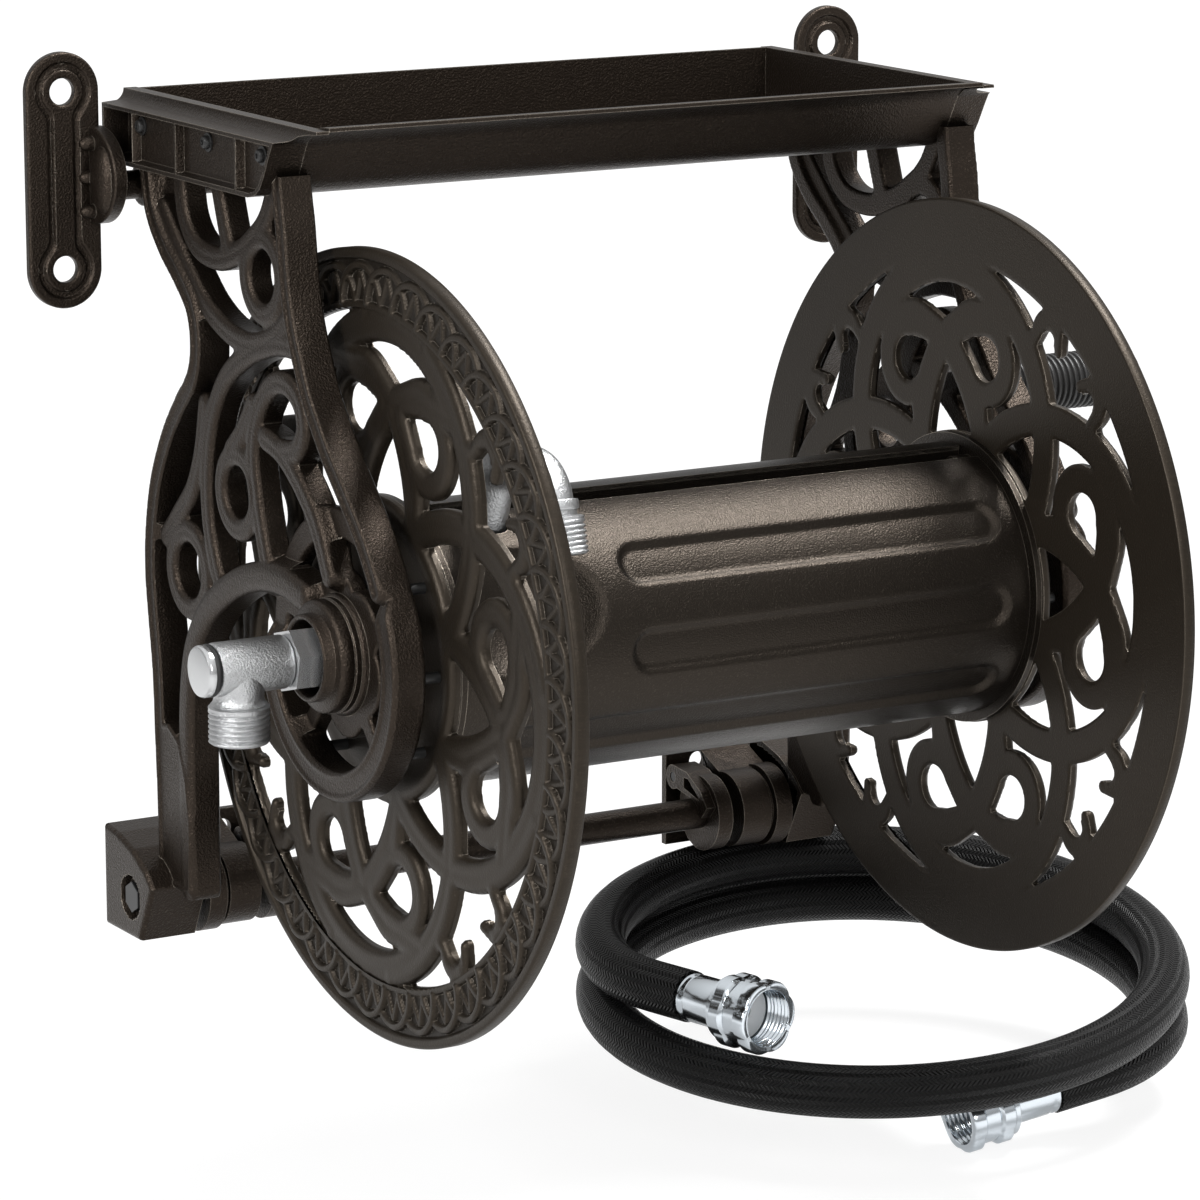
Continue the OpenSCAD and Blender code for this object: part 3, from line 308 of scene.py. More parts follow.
def away(p: Plane, centre: Sequence[float]) -> Floats:
    """Distance of every point from a centre."""
    return np.hypot(p[0] - centre[0], p[1] - centre[1])


def round_area(p: Plane, centre: Sequence[float], radius: float) -> Floats:
    """Signed distance to a round area: distance from its centre less its radius."""
    return away(p, centre) - radius


def box_area(p: Plane, low: Sequence[float], high: Sequence[float]) -> Floats:
    """Signed distance to an upright rectangle: the largest distance past any of its four sides."""
    return np.maximum.reduce([low[0] - p[0], p[0] - high[0], low[1] - p[1], p[1] - high[1]])


def turned(p: Plane, degrees: float) -> Plane:
    """The points as a pattern turned by this angle sees them: both axes turned back."""
    c, s = math.cos(math.radians(degrees)), math.sin(math.radians(degrees))
    return p[0] * c + p[1] * s, p[1] * c - p[0] * s


def to_stretch(p: Plane, a: Floats, b: Floats) -> Floats:
    """Squared distance of every point to a straight stretch: to a + t (b - a), with t kept from 0 to 1.

    Args:
        p: The plane's points.
        a: Start of the stretch.
        b: End of the stretch.

    Returns:
        Squared distances.
    """
    e = b - a
    wu, wv = p[0] - a[0], p[1] - a[1]
    t = np.clip((wu * e[0] + wv * e[1]) / (e @ e), 0, 1)
    return (wu - t * e[0]) ** 2 + (wv - t * e[1]) ** 2


def polygon_area(p: Plane, corners: Sequence[Sequence[float]]) -> Floats:
    """Signed distance to a polygon.

    The size is the least distance to any side, and the sign changes at every side whose span in v holds the
    point and which lies to one side of it.

    Args:
        p: The plane's points.
        corners: The polygon's corners in order.

    Returns:
        Distances, negative inside.
    """
    c = np.asarray(corners, float)
    best = np.full(p[0].shape, np.inf)
    inside = np.zeros(p[0].shape, bool)
    for a, b in zip(c, np.roll(c, -1, axis=0)):
        best = np.minimum(best, to_stretch(p, a, b))
        spans = (p[1] >= a[1]) != (p[1] >= b[1])
        left = (b[0] - a[0]) * (p[1] - a[1]) > (b[1] - a[1]) * (p[0] - a[0])
        inside ^= spans & (left == (b[1] < a[1]))
    return np.where(inside, -1, 1) * np.sqrt(best)


def smooth_line(points: Sequence[Sequence[float]], steps: int = 6) -> Floats:
    """A smooth path through points: from b to c a cubic that starts along c - a and ends along d - b.

    Args:
        points: Points a, b, c, d and so on of the path.
        steps: Stretches between each two of them.

    Returns:
        The path's points, one row each.
    """
    p = np.asarray(points, float)
    padded = np.vstack([p[:1], p, p[-1:]])
    t = np.linspace(0, 1, steps, endpoint=False)[None, :, None]
    a, b, c, d = (padded[i : len(p) - 1 + i, None] for i in range(4))
    curve = 0.5 * (2 * b + (c - a) * t + (2 * a - 5 * b + 4 * c - d) * t**2 + (3 * b - a - 3 * c + d) * t**3)
    return np.vstack([curve.reshape(-1, p.shape[1]), p[-1:]])


def band_area(p: Plane, points: Sequence[Sequence[float]], width: float) -> Floats:
    """Signed distance to a round ended band: least distance to any stretch of its path, less half its width.

    Args:
        p: The plane's points.
        points: Points of the band's middle line, joined by a smooth path.
        width: Width of the band.

    Returns:
        Distances, negative inside.
    """
    line = smooth_line(points)
    best = np.full(p[0].shape, np.inf)
    for a, b in zip(line[:-1], line[1:]):
        best = np.minimum(best, to_stretch(p, a, b))
    return np.sqrt(best) - width / 2


def ring_area(p: Plane, centre: Sequence[float], outer: float, width: float) -> Floats:
    """Signed distance to a ring: how far a point is from its middle circle, less half its width."""
    return np.abs(away(p, centre) - outer + width / 2) - width / 2


def either(*areas: Floats) -> Floats:
    """All of several areas together: the least of their distances."""
    return np.minimum.reduce(areas)


def both(*areas: Floats) -> Floats:
    """What several areas share: the greatest of their distances."""
    return np.maximum.reduce(areas)


def less(area: Floats, *cuts: Floats) -> Floats:
    """An area with others cut out of it: the greatest of its distance and theirs turned over."""
    return np.maximum.reduce([area, *[-c for c in cuts]])


def cast_together(fillet: float, *areas: Floats) -> Floats:
    """Areas joined with filled corners.

    The result is the least distance, less h squared over four fillets, where h is what the two distances lack
    to be a fillet apart.

    Args:
        fillet: How far a filled corner reaches.
        areas: Signed distances of the areas.

    Returns:
        Signed distances of all of them together.
    """
    joined = areas[0]
    for area in areas[1:]:
        h = np.maximum(fillet - np.abs(joined - area), 0)
        joined = np.minimum(joined, area) - h * h / (4 * fillet)
    return joined


def crown(depth: Floats, shoulder: float, drop: float, dish: float = 0.0) -> Floats:
    """Height of a rounded band below its top: a quarter ellipse over the shoulder, and a dish past it.

    Args:
        depth: Distance inside the band's edge.
        shoulder: Width of the rounded edge.
        drop: How far the surface falls to the edge.
        dish: How far the middle sinks again.

    Returns:
        Heights from 0 at the top to minus the drop at the edge.
    """
    t = 1 - np.clip(depth / shoulder, 0, 1)
    fall = -drop * (1 - np.sqrt(np.maximum(1 - t * t, 0)))
    return fall - dish * np.clip((depth - shoulder) / shoulder, 0, 1) ** 2


# Surfaces


class Side(Enum):
    """Which side of the reel a casting belongs to; the right one is the left one mirrored."""

    LEFT = 1.0
    RIGHT = -1.0


@dataclass
class Surface:
    """Points and faces that grow into one piece, in millimetres about the axle."""

    name: str
    points: list[Floats] = field(default_factory=list)
    faces: list[NDArray[np.int64]] = field(default_factory=list)
    uvs: list[Floats] = field(default_factory=list)
    # Painted shade of each point, for the lace's recesses
    painted_recess_shade: Floats | None = None
    count: int = 0

    def put(self, points: Floats, *faces: NDArray[np.int64], flip: bool = False) -> None:
        """Adds points, and faces numbered from them.

        Args:
            points: The new points, one row each.
            faces: Arrays of faces with three or four corners a row.
            flip: True where the faces are to look the other way.
        """
        for f in faces:
            if len(f):
                self.faces.append((f[:, ::-1] if flip else f) + self.count)
        self.points.append(points.reshape(-1, 3))
        self.count += self.points[-1].shape[0]

    def grid(self, points: Floats, around: bool = False, along: bool = False, flip: bool = False) -> None:
        """Adds a grid of points as quads, closed round its second axis, its first, or both.

        Args:
            points: Grid of shape (rows, columns, 3).
            around: True where the last column meets the first.
            along: True where the last row meets the first.
            flip: True where the faces are to look the other way.
        """
        rows, columns = points.shape[:2]
        i = np.arange(rows if along else rows - 1)[:, None]
        j = np.arange(columns if around else columns - 1)[None, :]
        i2, j2 = (i + 1) % rows, (j + 1) % columns
        quads = np.stack([i * columns + j, i * columns + j2, i2 * columns + j2, i2 * columns + j], -1)
        self.put(points, quads.reshape(-1, 4), flip=flip)

    def piece(self, finish: Finish, body: str, sharp: float = 35.0,
              nodes: Sequence[str] = ()) -> bpy.types.Object:
        """Makes the Blender object.

        Args:
            finish: Its finish.
            body: CAD body that it moves with.
            sharp: Angle, in degrees, past which an edge stays sharp.
            nodes: CAD nodes that it stands for.

        Returns:
            The new object, at the origin, with its place in its mesh.
        """
        points = (np.vstack(self.points) + AXLE) / 1000
        mesh = bpy.data.meshes.new(self.name)
        sizes = np.concatenate([np.full(len(f), f.shape[1]) for f in self.faces])
        loops = np.concatenate([f.ravel() for f in self.faces])
        mesh.vertices.add(len(points))
        mesh.vertices.foreach_set("co", points.ravel())
        mesh.loops.add(len(loops))
        mesh.loops.foreach_set("vertex_index", loops)
        mesh.polygons.add(len(sizes))
        mesh.polygons.foreach_set("loop_start", np.concatenate([[0], np.cumsum(sizes)[:-1]]))
        mesh.polygons.foreach_set("use_smooth", np.ones(len(sizes), bool))
        if self.uvs:
            layer = mesh.uv_layers.new(name="UVMap")
            layer.data.foreach_set("uv", np.concatenate(self.uvs).ravel())
        if self.painted_recess_shade is not None:
            depth = mesh.attributes.new("painted_recess_shade", "FLOAT", "POINT")
            depth.data.foreach_set("value", self.painted_recess_shade.ravel())
        mesh.update(calc_edges=True)
        mesh.validate()
        return finished(mesh, self.name, finish, body, sharp, nodes)


def merged(mesh: bpy.types.Mesh, reach: float) -> bmesh.types.BMesh:
    """A mesh opened for work, with its points merged that lie closer than reach, in metres."""
    tool = bmesh.new()
    tool.from_mesh(mesh)
    bmesh.ops.remove_doubles(tool, verts=tool.verts, dist=reach)
    return tool


def finished(mesh: bpy.types.Mesh, name: str, finish: Finish, body: str, sharp: float,
             nodes: Sequence[str]) -> bpy.types.Object:
    """Turns a mesh into a dressed piece that rides on its body and stands for its CAD nodes.

    Args:
        mesh: The piece's mesh, in its place.
        name: The piece's name.
        finish: Its finish.
        body: CAD body that it moves with.
        sharp: Angle, in degrees, past which an edge stays sharp.
        nodes: CAD nodes that it stands for.

    Returns:
        The new object.
    """
    tool = merged(mesh, DOUBLES_M)
    bmesh.ops.dissolve_degenerate(tool, edges=tool.edges, dist=DEGENERATE_M)
    tool.to_mesh(mesh)
    tool.free()
    mesh.materials.clear()
    mesh.materials.append(finish.material())
    mesh.set_sharp_from_angle(angle=math.radians(sharp))
    made = bpy.data.objects.new(name, mesh)
    bpy.context.scene.collection.objects.link(made)
    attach(made, body)
    if nodes:
        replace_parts(made, *nodes)
    LOG.info("%s: %d faces", name, len(mesh.polygons))
    return made


def softened(node: str, finish: Finish, body: str, slot: str, radius_mm: float = 0.5) -> bpy.types.Object:
    """A CAD node's copy with its edges broken to a radius, as a mould or a tumbler leaves them.

    Args:
        node: CAD node that it stands for.
        finish: Its finish.
        body: CAD body that it moves with.
        slot: Material slot of the record; not used.
        radius_mm: Width of the broken edge.

    Returns:
        The new object.
    """
    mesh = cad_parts[node].data.copy()
    tool = merged(mesh, CAD_DOUBLES_M)
    bmesh.ops.dissolve_limit(tool, angle_limit=math.radians(0.6), verts=tool.verts, edges=tool.edges)
    for face in tool.faces:
        face.smooth = True
    tool.to_mesh(mesh)
    tool.free()
    made = finished(mesh, node + "_cast", finish, body, 34.0, [node])
    edge = made.modifiers.new("broken_edges", "BEVEL")
    edge.width = radius_mm / 1000
    edge.segments = 2
    edge.limit_method = "ANGLE"
    edge.angle_limit = math.radians(38)
    edge.harden_normals = True
    return made


def pierced(surface: Surface, area: Field, low: Sequence[float], high: Sequence[float], step: float,
            front: Field, back: Field, place: Placing, flip: bool = False) -> None:
    """Adds a pierced casting: the part of a plane where a signed distance is negative, with two faces.

    The plane is cut into squares. Grid points close to the outline move onto it along the slope of the
    distance, and a square that the outline crosses keeps the corners inside, with new points where the
    distance passes zero.

    Args:
        surface: Surface that receives it.
        area: Signed distance of the outline.
        low: Lowest corner of the plane's window.
        high: Highest corner of the window.
        step: Side of a square.
        front: Height of the front face at every point.
        back: Height of the back face at every point.
        place: Turns u, v and a height into points of the reel.
        flip: True where place turns the surface inside out.
    """
    u, v = np.meshgrid(*(np.arange(low[k], high[k] + step, step) for k in (0, 1)), indexing="ij")
    f = area((u, v))
    gu, gv = np.gradient(f, step)
    slope = np.clip(gu * gu + gv * gv, LEAST_SLOPE, None)
    near = np.abs(f) < NEAR_SHARE * step
    u, v = np.where(near, u - f * gu / slope, u), np.where(near, v - f * gv / slope, v)
    f = np.where(near, 0.0, f)
    rows, columns = f.shape
    number = np.arange(rows * columns).reshape(rows, columns)
    points_u, points_v = [u.ravel()], [v.ravel()]
    total = rows * columns

    def crossings(a: tuple[slice, slice], b: tuple[slice, slice]) -> NDArray[np.int64]:
        """Number of the outline's point on every edge from a to b, or of the corner that lies on it."""
        nonlocal total
        fa, fb = f[a], f[b]
        cut = (fa <= 0) != (fb <= 0)
        t = fa / np.where(cut, fa - fb, 1.0)
        fresh = cut & (fa != 0) & (fb != 0)
        index = np.where(fa <= 0, number[a], number[b])
        index[fresh] = total + np.arange(fresh.sum())
        points_u.append((u[a] + t * (u[b] - u[a]))[fresh])
        points_v.append((v[a] + t * (v[b] - v[a]))[fresh])
        total += int(fresh.sum())
        return index

    whole, first, last = slice(None), slice(None, -1), slice(1, None)
    flat = crossings((first, whole), (last, whole))
    up = crossings((whole, first), (whole, last))
    corner = [number[:-1, :-1], number[1:, :-1], number[1:, 1:], number[:-1, 1:]]
    edge = [flat[:, :-1], up[1:, :], flat[:, 1:], up[:-1, :]]
    inside = [f.ravel()[c] <= 0 for c in corner]
    case = sum(s.astype(int) << k for k, s in enumerate(inside))
    quads = np.stack([c[case == 15] for c in corner], -1)
    triangles, rim = [], []
    for kind in range(1, 15):
        here = case == kind
        if not here.any():
            continue
        for outline in corner_walks(kind):
            walk = [corner[k][here] if is_corner else edge[k][here] for is_corner, k in outline]
            for k in range(1, len(walk) - 1):
                triangles.append(np.stack([walk[0], walk[k], walk[k + 1]], -1))
            for k, (a, b) in enumerate(zip(outline, outline[1:] + outline[:1])):
                if not a[0] and not b[0]:
                    rim.append(np.stack([walk[k], walk[(k + 1) % len(walk)]], -1))
    tris = np.concatenate(triangles)
    tris = tris[(tris[:, 0] != tris[:, 1]) & (tris[:, 1] != tris[:, 2]) & (tris[:, 0] != tris[:, 2])]
    walls = np.concatenate(rim)
    walls = walls[walls[:, 0] != walls[:, 1]]
    uu, vv = np.concatenate(points_u), np.concatenate(points_v)
    used = np.unique(np.concatenate([quads.ravel(), tris.ravel(), walls.ravel()]))
    renumber = np.zeros(total, np.int64)
    renumber[used] = np.arange(len(used))
    uu, vv = uu[used], vv[used]
    quads, tris, walls = renumber[quads], renumber[tris], renumber[walls]
    n = len(used)
    top, bottom = front((uu, vv)), back((uu, vv))
    # Two more rows in the walls, just inside either edge, keep the walls flat and their edges crisp
    thickness = np.maximum(np.abs(bottom - top), 0.5)
    fall = np.clip(WALL_ROW / thickness, 0, 0.5) * (bottom - top)
    points = np.vstack([place(uu, vv, h) for h in (top, bottom, top + fall, bottom - fall)])
    rows = ((2 * n, 0), (3 * n, 2 * n), (n, 3 * n))
    start, end = walls.T
    sides = [np.stack([start + a, end + a, end + b, start + b], -1) for a, b in rows]
    surface.put(points, quads, tris, quads[:, ::-1] + n, tris[:, ::-1] + n, *sides, flip=flip)


def corner_walks(kind: int) -> list[list[tuple[bool, int]]]:
    """Walks round the inside of a square whose corners inside are the set bits of kind.

    Args:
        kind: Bit k is set where corner k is inside.

    Returns:
        For each separate part, its corners (True, k) and outline points (False, edge k) in turn.
    """
    if kind == 5:
        return [[(True, 0), (False, 0), (False, 3)], [(True, 2), (False, 2), (False, 1)]]
    if kind == 10:
        return [[(True, 1), (False, 1), (False, 0)], [(True, 3), (False, 3), (False, 2)]]
    walk = []
    for k in range(4):
        now, after = bool(kind >> k & 1), bool(kind >> (k + 1) % 4 & 1)
        if now:
            walk.append((True, k))
        if now != after:
            walk.append((False, k))
    return [walk]


def seen_from_side(side: Side) -> Placing:
    """Places y, z and a height along the axle on the left, and mirrors them on the right."""
    return lambda y, z, x: np.stack([x * side.value, y, z], -1)


def lathe(surface: Surface, profile: Sequence[Sequence[float]] | Floats, origin: Sequence[float],
          axis: Sequence[float], sides: int = 48, shape: Placing | None = None, closed: bool = False) -> None:
    """Adds a turned shape: its point at turn t and (r, s) is origin + r (cos t side + sin t up) + s axis.

    Args:
        surface: Surface that receives it.
        profile: Points (radius, distance along the axis), with the metal on the left of the way along.
        origin: Point where the distance along is zero.
        axis: Direction of the axis.
        sides: Points in one turn.
        shape: Changes the radius, given the turn, the radius and the distance along.
        closed: True where the profile's end joins its start.
    """
    p = np.asarray(profile, float)
    a = np.asarray(axis, float) / np.linalg.norm(axis)
    w = np.cross(a, (0.0, 0.0, 1.0) if abs(a[2]) < 0.95 else (0.0, 1.0, 0.0))
    w /= np.linalg.norm(w)
    o = np.cross(a, w)
    turn = np.arange(sides)[None, :] * 2 * np.pi / sides
    r, s = p[:, :1] + 0 * turn, p[:, 1:] + 0 * turn
    if shape:
        r = shape(turn + 0 * r, r, s)
    out = np.cos(turn)[..., None] * w + np.sin(turn)[..., None] * o
    surface.grid(np.asarray(origin, float) + r[..., None] * out + s[..., None] * a, around=True, along=closed)


def rings_along(path: Floats, radius: float, sides: int, up: Sequence[float] | Floats) -> Floats:
    """Rings square to a path, with the path's own ends before and after them, which close the tube.

    A ring's points are path + radius (cos t side + sin t over), where side is square to up and to the way.

    Args:
        path: Points of the middle line.
        radius: Radius of the tube.
        sides: Points in one ring.
        up: A direction that the way is never along.

    Returns:
        Grid of points, one row for each ring.
    """
    way = np.gradient(path, axis=0)
    way /= np.linalg.norm(way, axis=1, keepdims=True)
    side = np.cross(np.asarray(up, float), way)
    side /= np.linalg.norm(side, axis=1, keepdims=True)
    over = np.cross(way, side)
    t = (np.arange(sides) * 2 * np.pi / sides)[None, :, None]
    rings = path[:, None] + radius * (np.cos(t) * side[:, None] + np.sin(t) * over[:, None])
    first, last = (np.repeat(path[k, None, None], sides, 1) for k in (0, -1))
    return np.concatenate([first, rings, last])


def distances(path: Floats) -> Floats:
    """Distance along a path to each of its points."""
    return np.concatenate([[0], np.cumsum(np.linalg.norm(np.diff(path, axis=0), axis=1))])


def bars(loop: Floats, low: float, high: float) -> Floats:
    """Grid of a loop in y and z drawn along the axle: a row for each point, and a column for low and high."""
    y, z = (loop[:, k : k + 1] + np.zeros(2) for k in (0, 1))
    return np.stack([np.broadcast_to([low, high], y.shape), y, z], -1)


def extruded(surface: Surface, line: Floats, thickness: float, low: float, high: float) -> None:
    """Adds a bent sheet along the axle: a line, the same line moved along its normals, and closed ends.

    Args:
        surface: Surface that receives it.
        line: Section of one face, in y and z.
        thickness: Thickness of the sheet.
        low: Where it starts along the axle.
        high: Where it ends.
    """
    d = np.gradient(line, axis=0)
    normal = np.stack([-d[:, 1], d[:, 0]], -1) / np.linalg.norm(d, axis=1, keepdims=True)
    points = bars(np.vstack([line, (line - normal * thickness)[::-1]]), low, high)
    surface.grid(points, along=True)
    n, i = len(points), np.arange(len(line) - 1)
    for end, flip in ((0, True), (1, False)):
        cap = np.stack([i, i + 1, n - 2 - i, n - 1 - i], -1)
        surface.put(points[:, end], cap, flip=flip)


# Studio


@dataclass
class Studio:
    """Camera at the photograph's angle, a pale floor under the hose, and soft lamps."""

    azimuth: float = -30.34
    elevation: float = 12.21
    camera_at: tuple[float, float, float] = (-1.17214, -2.13414, 0.31177)
    lens_mm: float = 156.8
    floor_z: float = -0.4434
    floor_half: float = 30.0
    floor_white: float = 1.12
    floor_mirrored: float = 0.4
    shadow_at: tuple[float, float] = (0.05, -0.2)
    shadow_reach: tuple[float, float] = (0.25, 0.75)
    shadow_white: float = 0.78
    world_light: float = 0.3
    world_low: float = 0.22
    lit_at: tuple[float, float, float] = (0.0, -0.2, -0.15)
    lamps: Sequence[tuple[str, Sequence[float], Sequence[float], float]] = (
        ("top_box", (0.75, -0.36, 1.5), (1.0, 0.45), 56.0),
        ("left_box", (-2.0, -0.8, 0.8), (0.5, 1.2), 40.0),
        ("front_box", (-0.4, -2.3, 0.7), (0.5, 0.9), 14.0))

    def build(self) -> None:
        """Builds the camera, the floor, the lamps (overhead, at the left and in front) and the world."""
        self.camera()
        self.floor()
        for name, at, size, watts in self.lamps:
            self.lamp(name, at, size, watts)
        self.world()
        bpy.context.scene.view_settings.view_transform = "Standard"

    def camera(self) -> None:
        """Stands the camera at its place: its axes are its right hand, its top and its back as columns."""
        az, el = math.radians(self.azimuth), math.radians(self.elevation)
        back = Vector((math.sin(az) * math.cos(el), -math.cos(az) * math.cos(el), math.sin(el)))
        right = Vector((math.cos(az), math.sin(az), 0))
        data = bpy.data.cameras.new("camera")
        data.lens, data.sensor_width = self.lens_mm, 36.0
        data.clip_start, data.clip_end = 0.05, 100.0
        made = bpy.data.objects.new("camera", data)
        turn = Matrix((right, back.cross(right), back)).transposed()
        made.matrix_world = Matrix.Translation(self.camera_at) @ turn.to_4x4()
        bpy.context.scene.collection.objects.link(made)
        bpy.context.scene.camera = made

    def floor(self) -> None:
        """Lays the floor: white to the camera, dimmer in mirrors, with part of the object's soft shadow."""
        mesh = bpy.data.meshes.new("floor")
        r = self.floor_half
        mesh.from_pydata([(x, y, self.floor_z) for x, y in ((-r, -r), (r, -r), (r, r), (-r, r))],
                         [], [(0, 1, 2, 3)])
        paint = bpy.data.materials.new("floor_paint")
        paint.use_nodes = True
        tree = paint.node_tree
        tree.nodes.clear()
        rays = add(tree, "ShaderNodeLightPath")
        # Mirrored, the floor is dimmer than it is seen, so that it doesn't wash out the black hose
        mirrored = add(tree, "ShaderNodeMath", {0: rays.outputs["Is Glossy Ray"], 1: self.floor_mirrored},
                       operation="MULTIPLY")
        seen = add(tree, "ShaderNodeMath", {0: rays.outputs["Is Camera Ray"], 1: mirrored.outputs[0]},
                   operation="MAXIMUM")
        # The share of plain white grows away from the object, so that only its own shadow stays
        away_from = add(tree, "ShaderNodeVectorMath", {
            0: add(tree, "ShaderNodeTexCoord").outputs["Object"], 1: (*self.shadow_at, self.floor_z)},
            operation="DISTANCE")
        plain = add(tree, "ShaderNodeMapRange", {
            "Value": away_from.outputs["Value"], "From Min": self.shadow_reach[0],
            "From Max": self.shadow_reach[1], "To Min": self.shadow_white, "To Max": 1.0})
        share = add(tree, "ShaderNodeMath", {0: seen.outputs[0], 1: plain.outputs["Result"]},
                    operation="MULTIPLY")
        matt = add(tree, "ShaderNodeBsdfDiffuse", {"Color": (0.8, 0.8, 0.8, 1)})
        glow = add(tree, "ShaderNodeEmission", {"Color": (1, 1, 1, 1), "Strength": self.floor_white})
        mixed = add(tree, "ShaderNodeMixShader", {
            0: share.outputs[0], 1: matt.outputs[0], 2: glow.outputs[0]})
        add(tree, "ShaderNodeOutputMaterial", {"Surface": mixed.outputs[0]})
        mesh.materials.append(paint)
        made = bpy.data.objects.new("floor", mesh)
        bpy.context.scene.collection.objects.link(made)
        made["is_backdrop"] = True

    def lamp(self, name: str, at: Sequence[float], size: Sequence[float], watts: float) -> None:
        """Hangs one soft box, turned towards the reel."""
        data = bpy.data.lights.new(name, "AREA")
        data.shape, data.size, data.size_y = "RECTANGLE", size[0], size[1]
        data.energy = watts
        made = bpy.data.objects.new(name, data)
        made.location = at
        made.rotation_euler = (Vector(self.lit_at) - Vector(at)).to_track_quat("-Z", "Y").to_euler()
        bpy.context.scene.collection.objects.link(made)

    def world(self) -> None:
        """Paints the surroundings: white where they are seen or mirrored, dimmer where they only light."""
        made = bpy.data.worlds.new("studio")
        bpy.context.scene.world = made
        made.use_nodes = True
        tree = made.node_tree
        tree.nodes.clear()
        rays = add(tree, "ShaderNodeLightPath").outputs
        seen = rays["Is Camera Ray"]
        for other in ("Is Glossy Ray", "Is Transmission Ray"):
            seen = add(tree, "ShaderNodeMath", {0: seen, 1: rays[other]}, operation="MAXIMUM").outputs[0]
        # Mirrored surroundings: white overhead and dimmer low down, where the dark room would be
        height = add(tree, "ShaderNodeSeparateXYZ", {0: add(tree, "ShaderNodeTexCoord").outputs["Generated"]})
        mirrored = add(tree, "ShaderNodeMapRange", {
            "Value": height.outputs["Z"], "From Min": -0.1, "From Max": 0.8, "To Min": self.world_low,
            "To Max": 1.0})
        shown = add(tree, "ShaderNodeMath", {0: mirrored.outputs["Result"], 1: rays["Is Camera Ray"]},
                    operation="MAXIMUM")
        level = add(tree, "ShaderNodeMix", {0: seen, 2: self.world_light, 3: shown.outputs[0]})
        sky = add(tree, "ShaderNodeBackground", {"Color": (1, 1, 1, 1), "Strength": level.outputs[0]})
        add(tree, "ShaderNodeOutputWorld", {"Surface": sky.outputs[0]})


# Sub-assemblies


@dataclass(frozen=True)
class HoseThread:
    """Male hose thread: outer radius, depth, pitch, and the radius below which nothing is cut."""

    outer: float = 13.2
    depth: float = 1.0
    pitch: float = 2.2
    core: float = 11.8

    def profile(self, start: float, stop: float) -> list[tuple[float, float]]:
        """Plain profile that it is cut in: a point every sixth of a pitch, with both ends broken.

        Args:
            start: Distance along the axis where it begins.
            stop: Distance where it ends.

        Returns:
            Points (radius, distance along the axis).
        """
        s = np.arange(start + 0.9, stop - 0.9, self.pitch / 6)
        r = self.outer
        return [(r - 1.3, start + 0.1), *[(r, float(v)) for v in s], (r - 0.9, stop - 0.3), (r - 1.8, stop)]

    def cut(self, start: float, stop: float) -> Placing:
        """Cuts it, rounded: the radius falls by the depth where distance less turn times pitch is half way.

        Args:
            start: Distance along the axis where the cut begins to deepen.
            stop: Distance where it has run out.

        Returns:
            A function of turn, radius and distance along that gives the new radius.
        """

        def shape(turn: Floats, r: Floats, s: Floats) -> Floats:
            """Radius with the thread cut in it."""
            phase = (s - turn / (2 * math.pi) * self.pitch) / self.pitch
            fade_in = np.clip((s - start) / self.pitch, 0, 1)
            fade_out = np.clip((stop - s) / self.pitch + 0.3, 0, 1)
            inside = fade_in * fade_out * (r > self.core)
            return r - inside * self.depth * (0.5 - 0.5 * np.cos(2 * math.pi * phase)) ** 1.4

        return shape


THREAD = HoseThread()


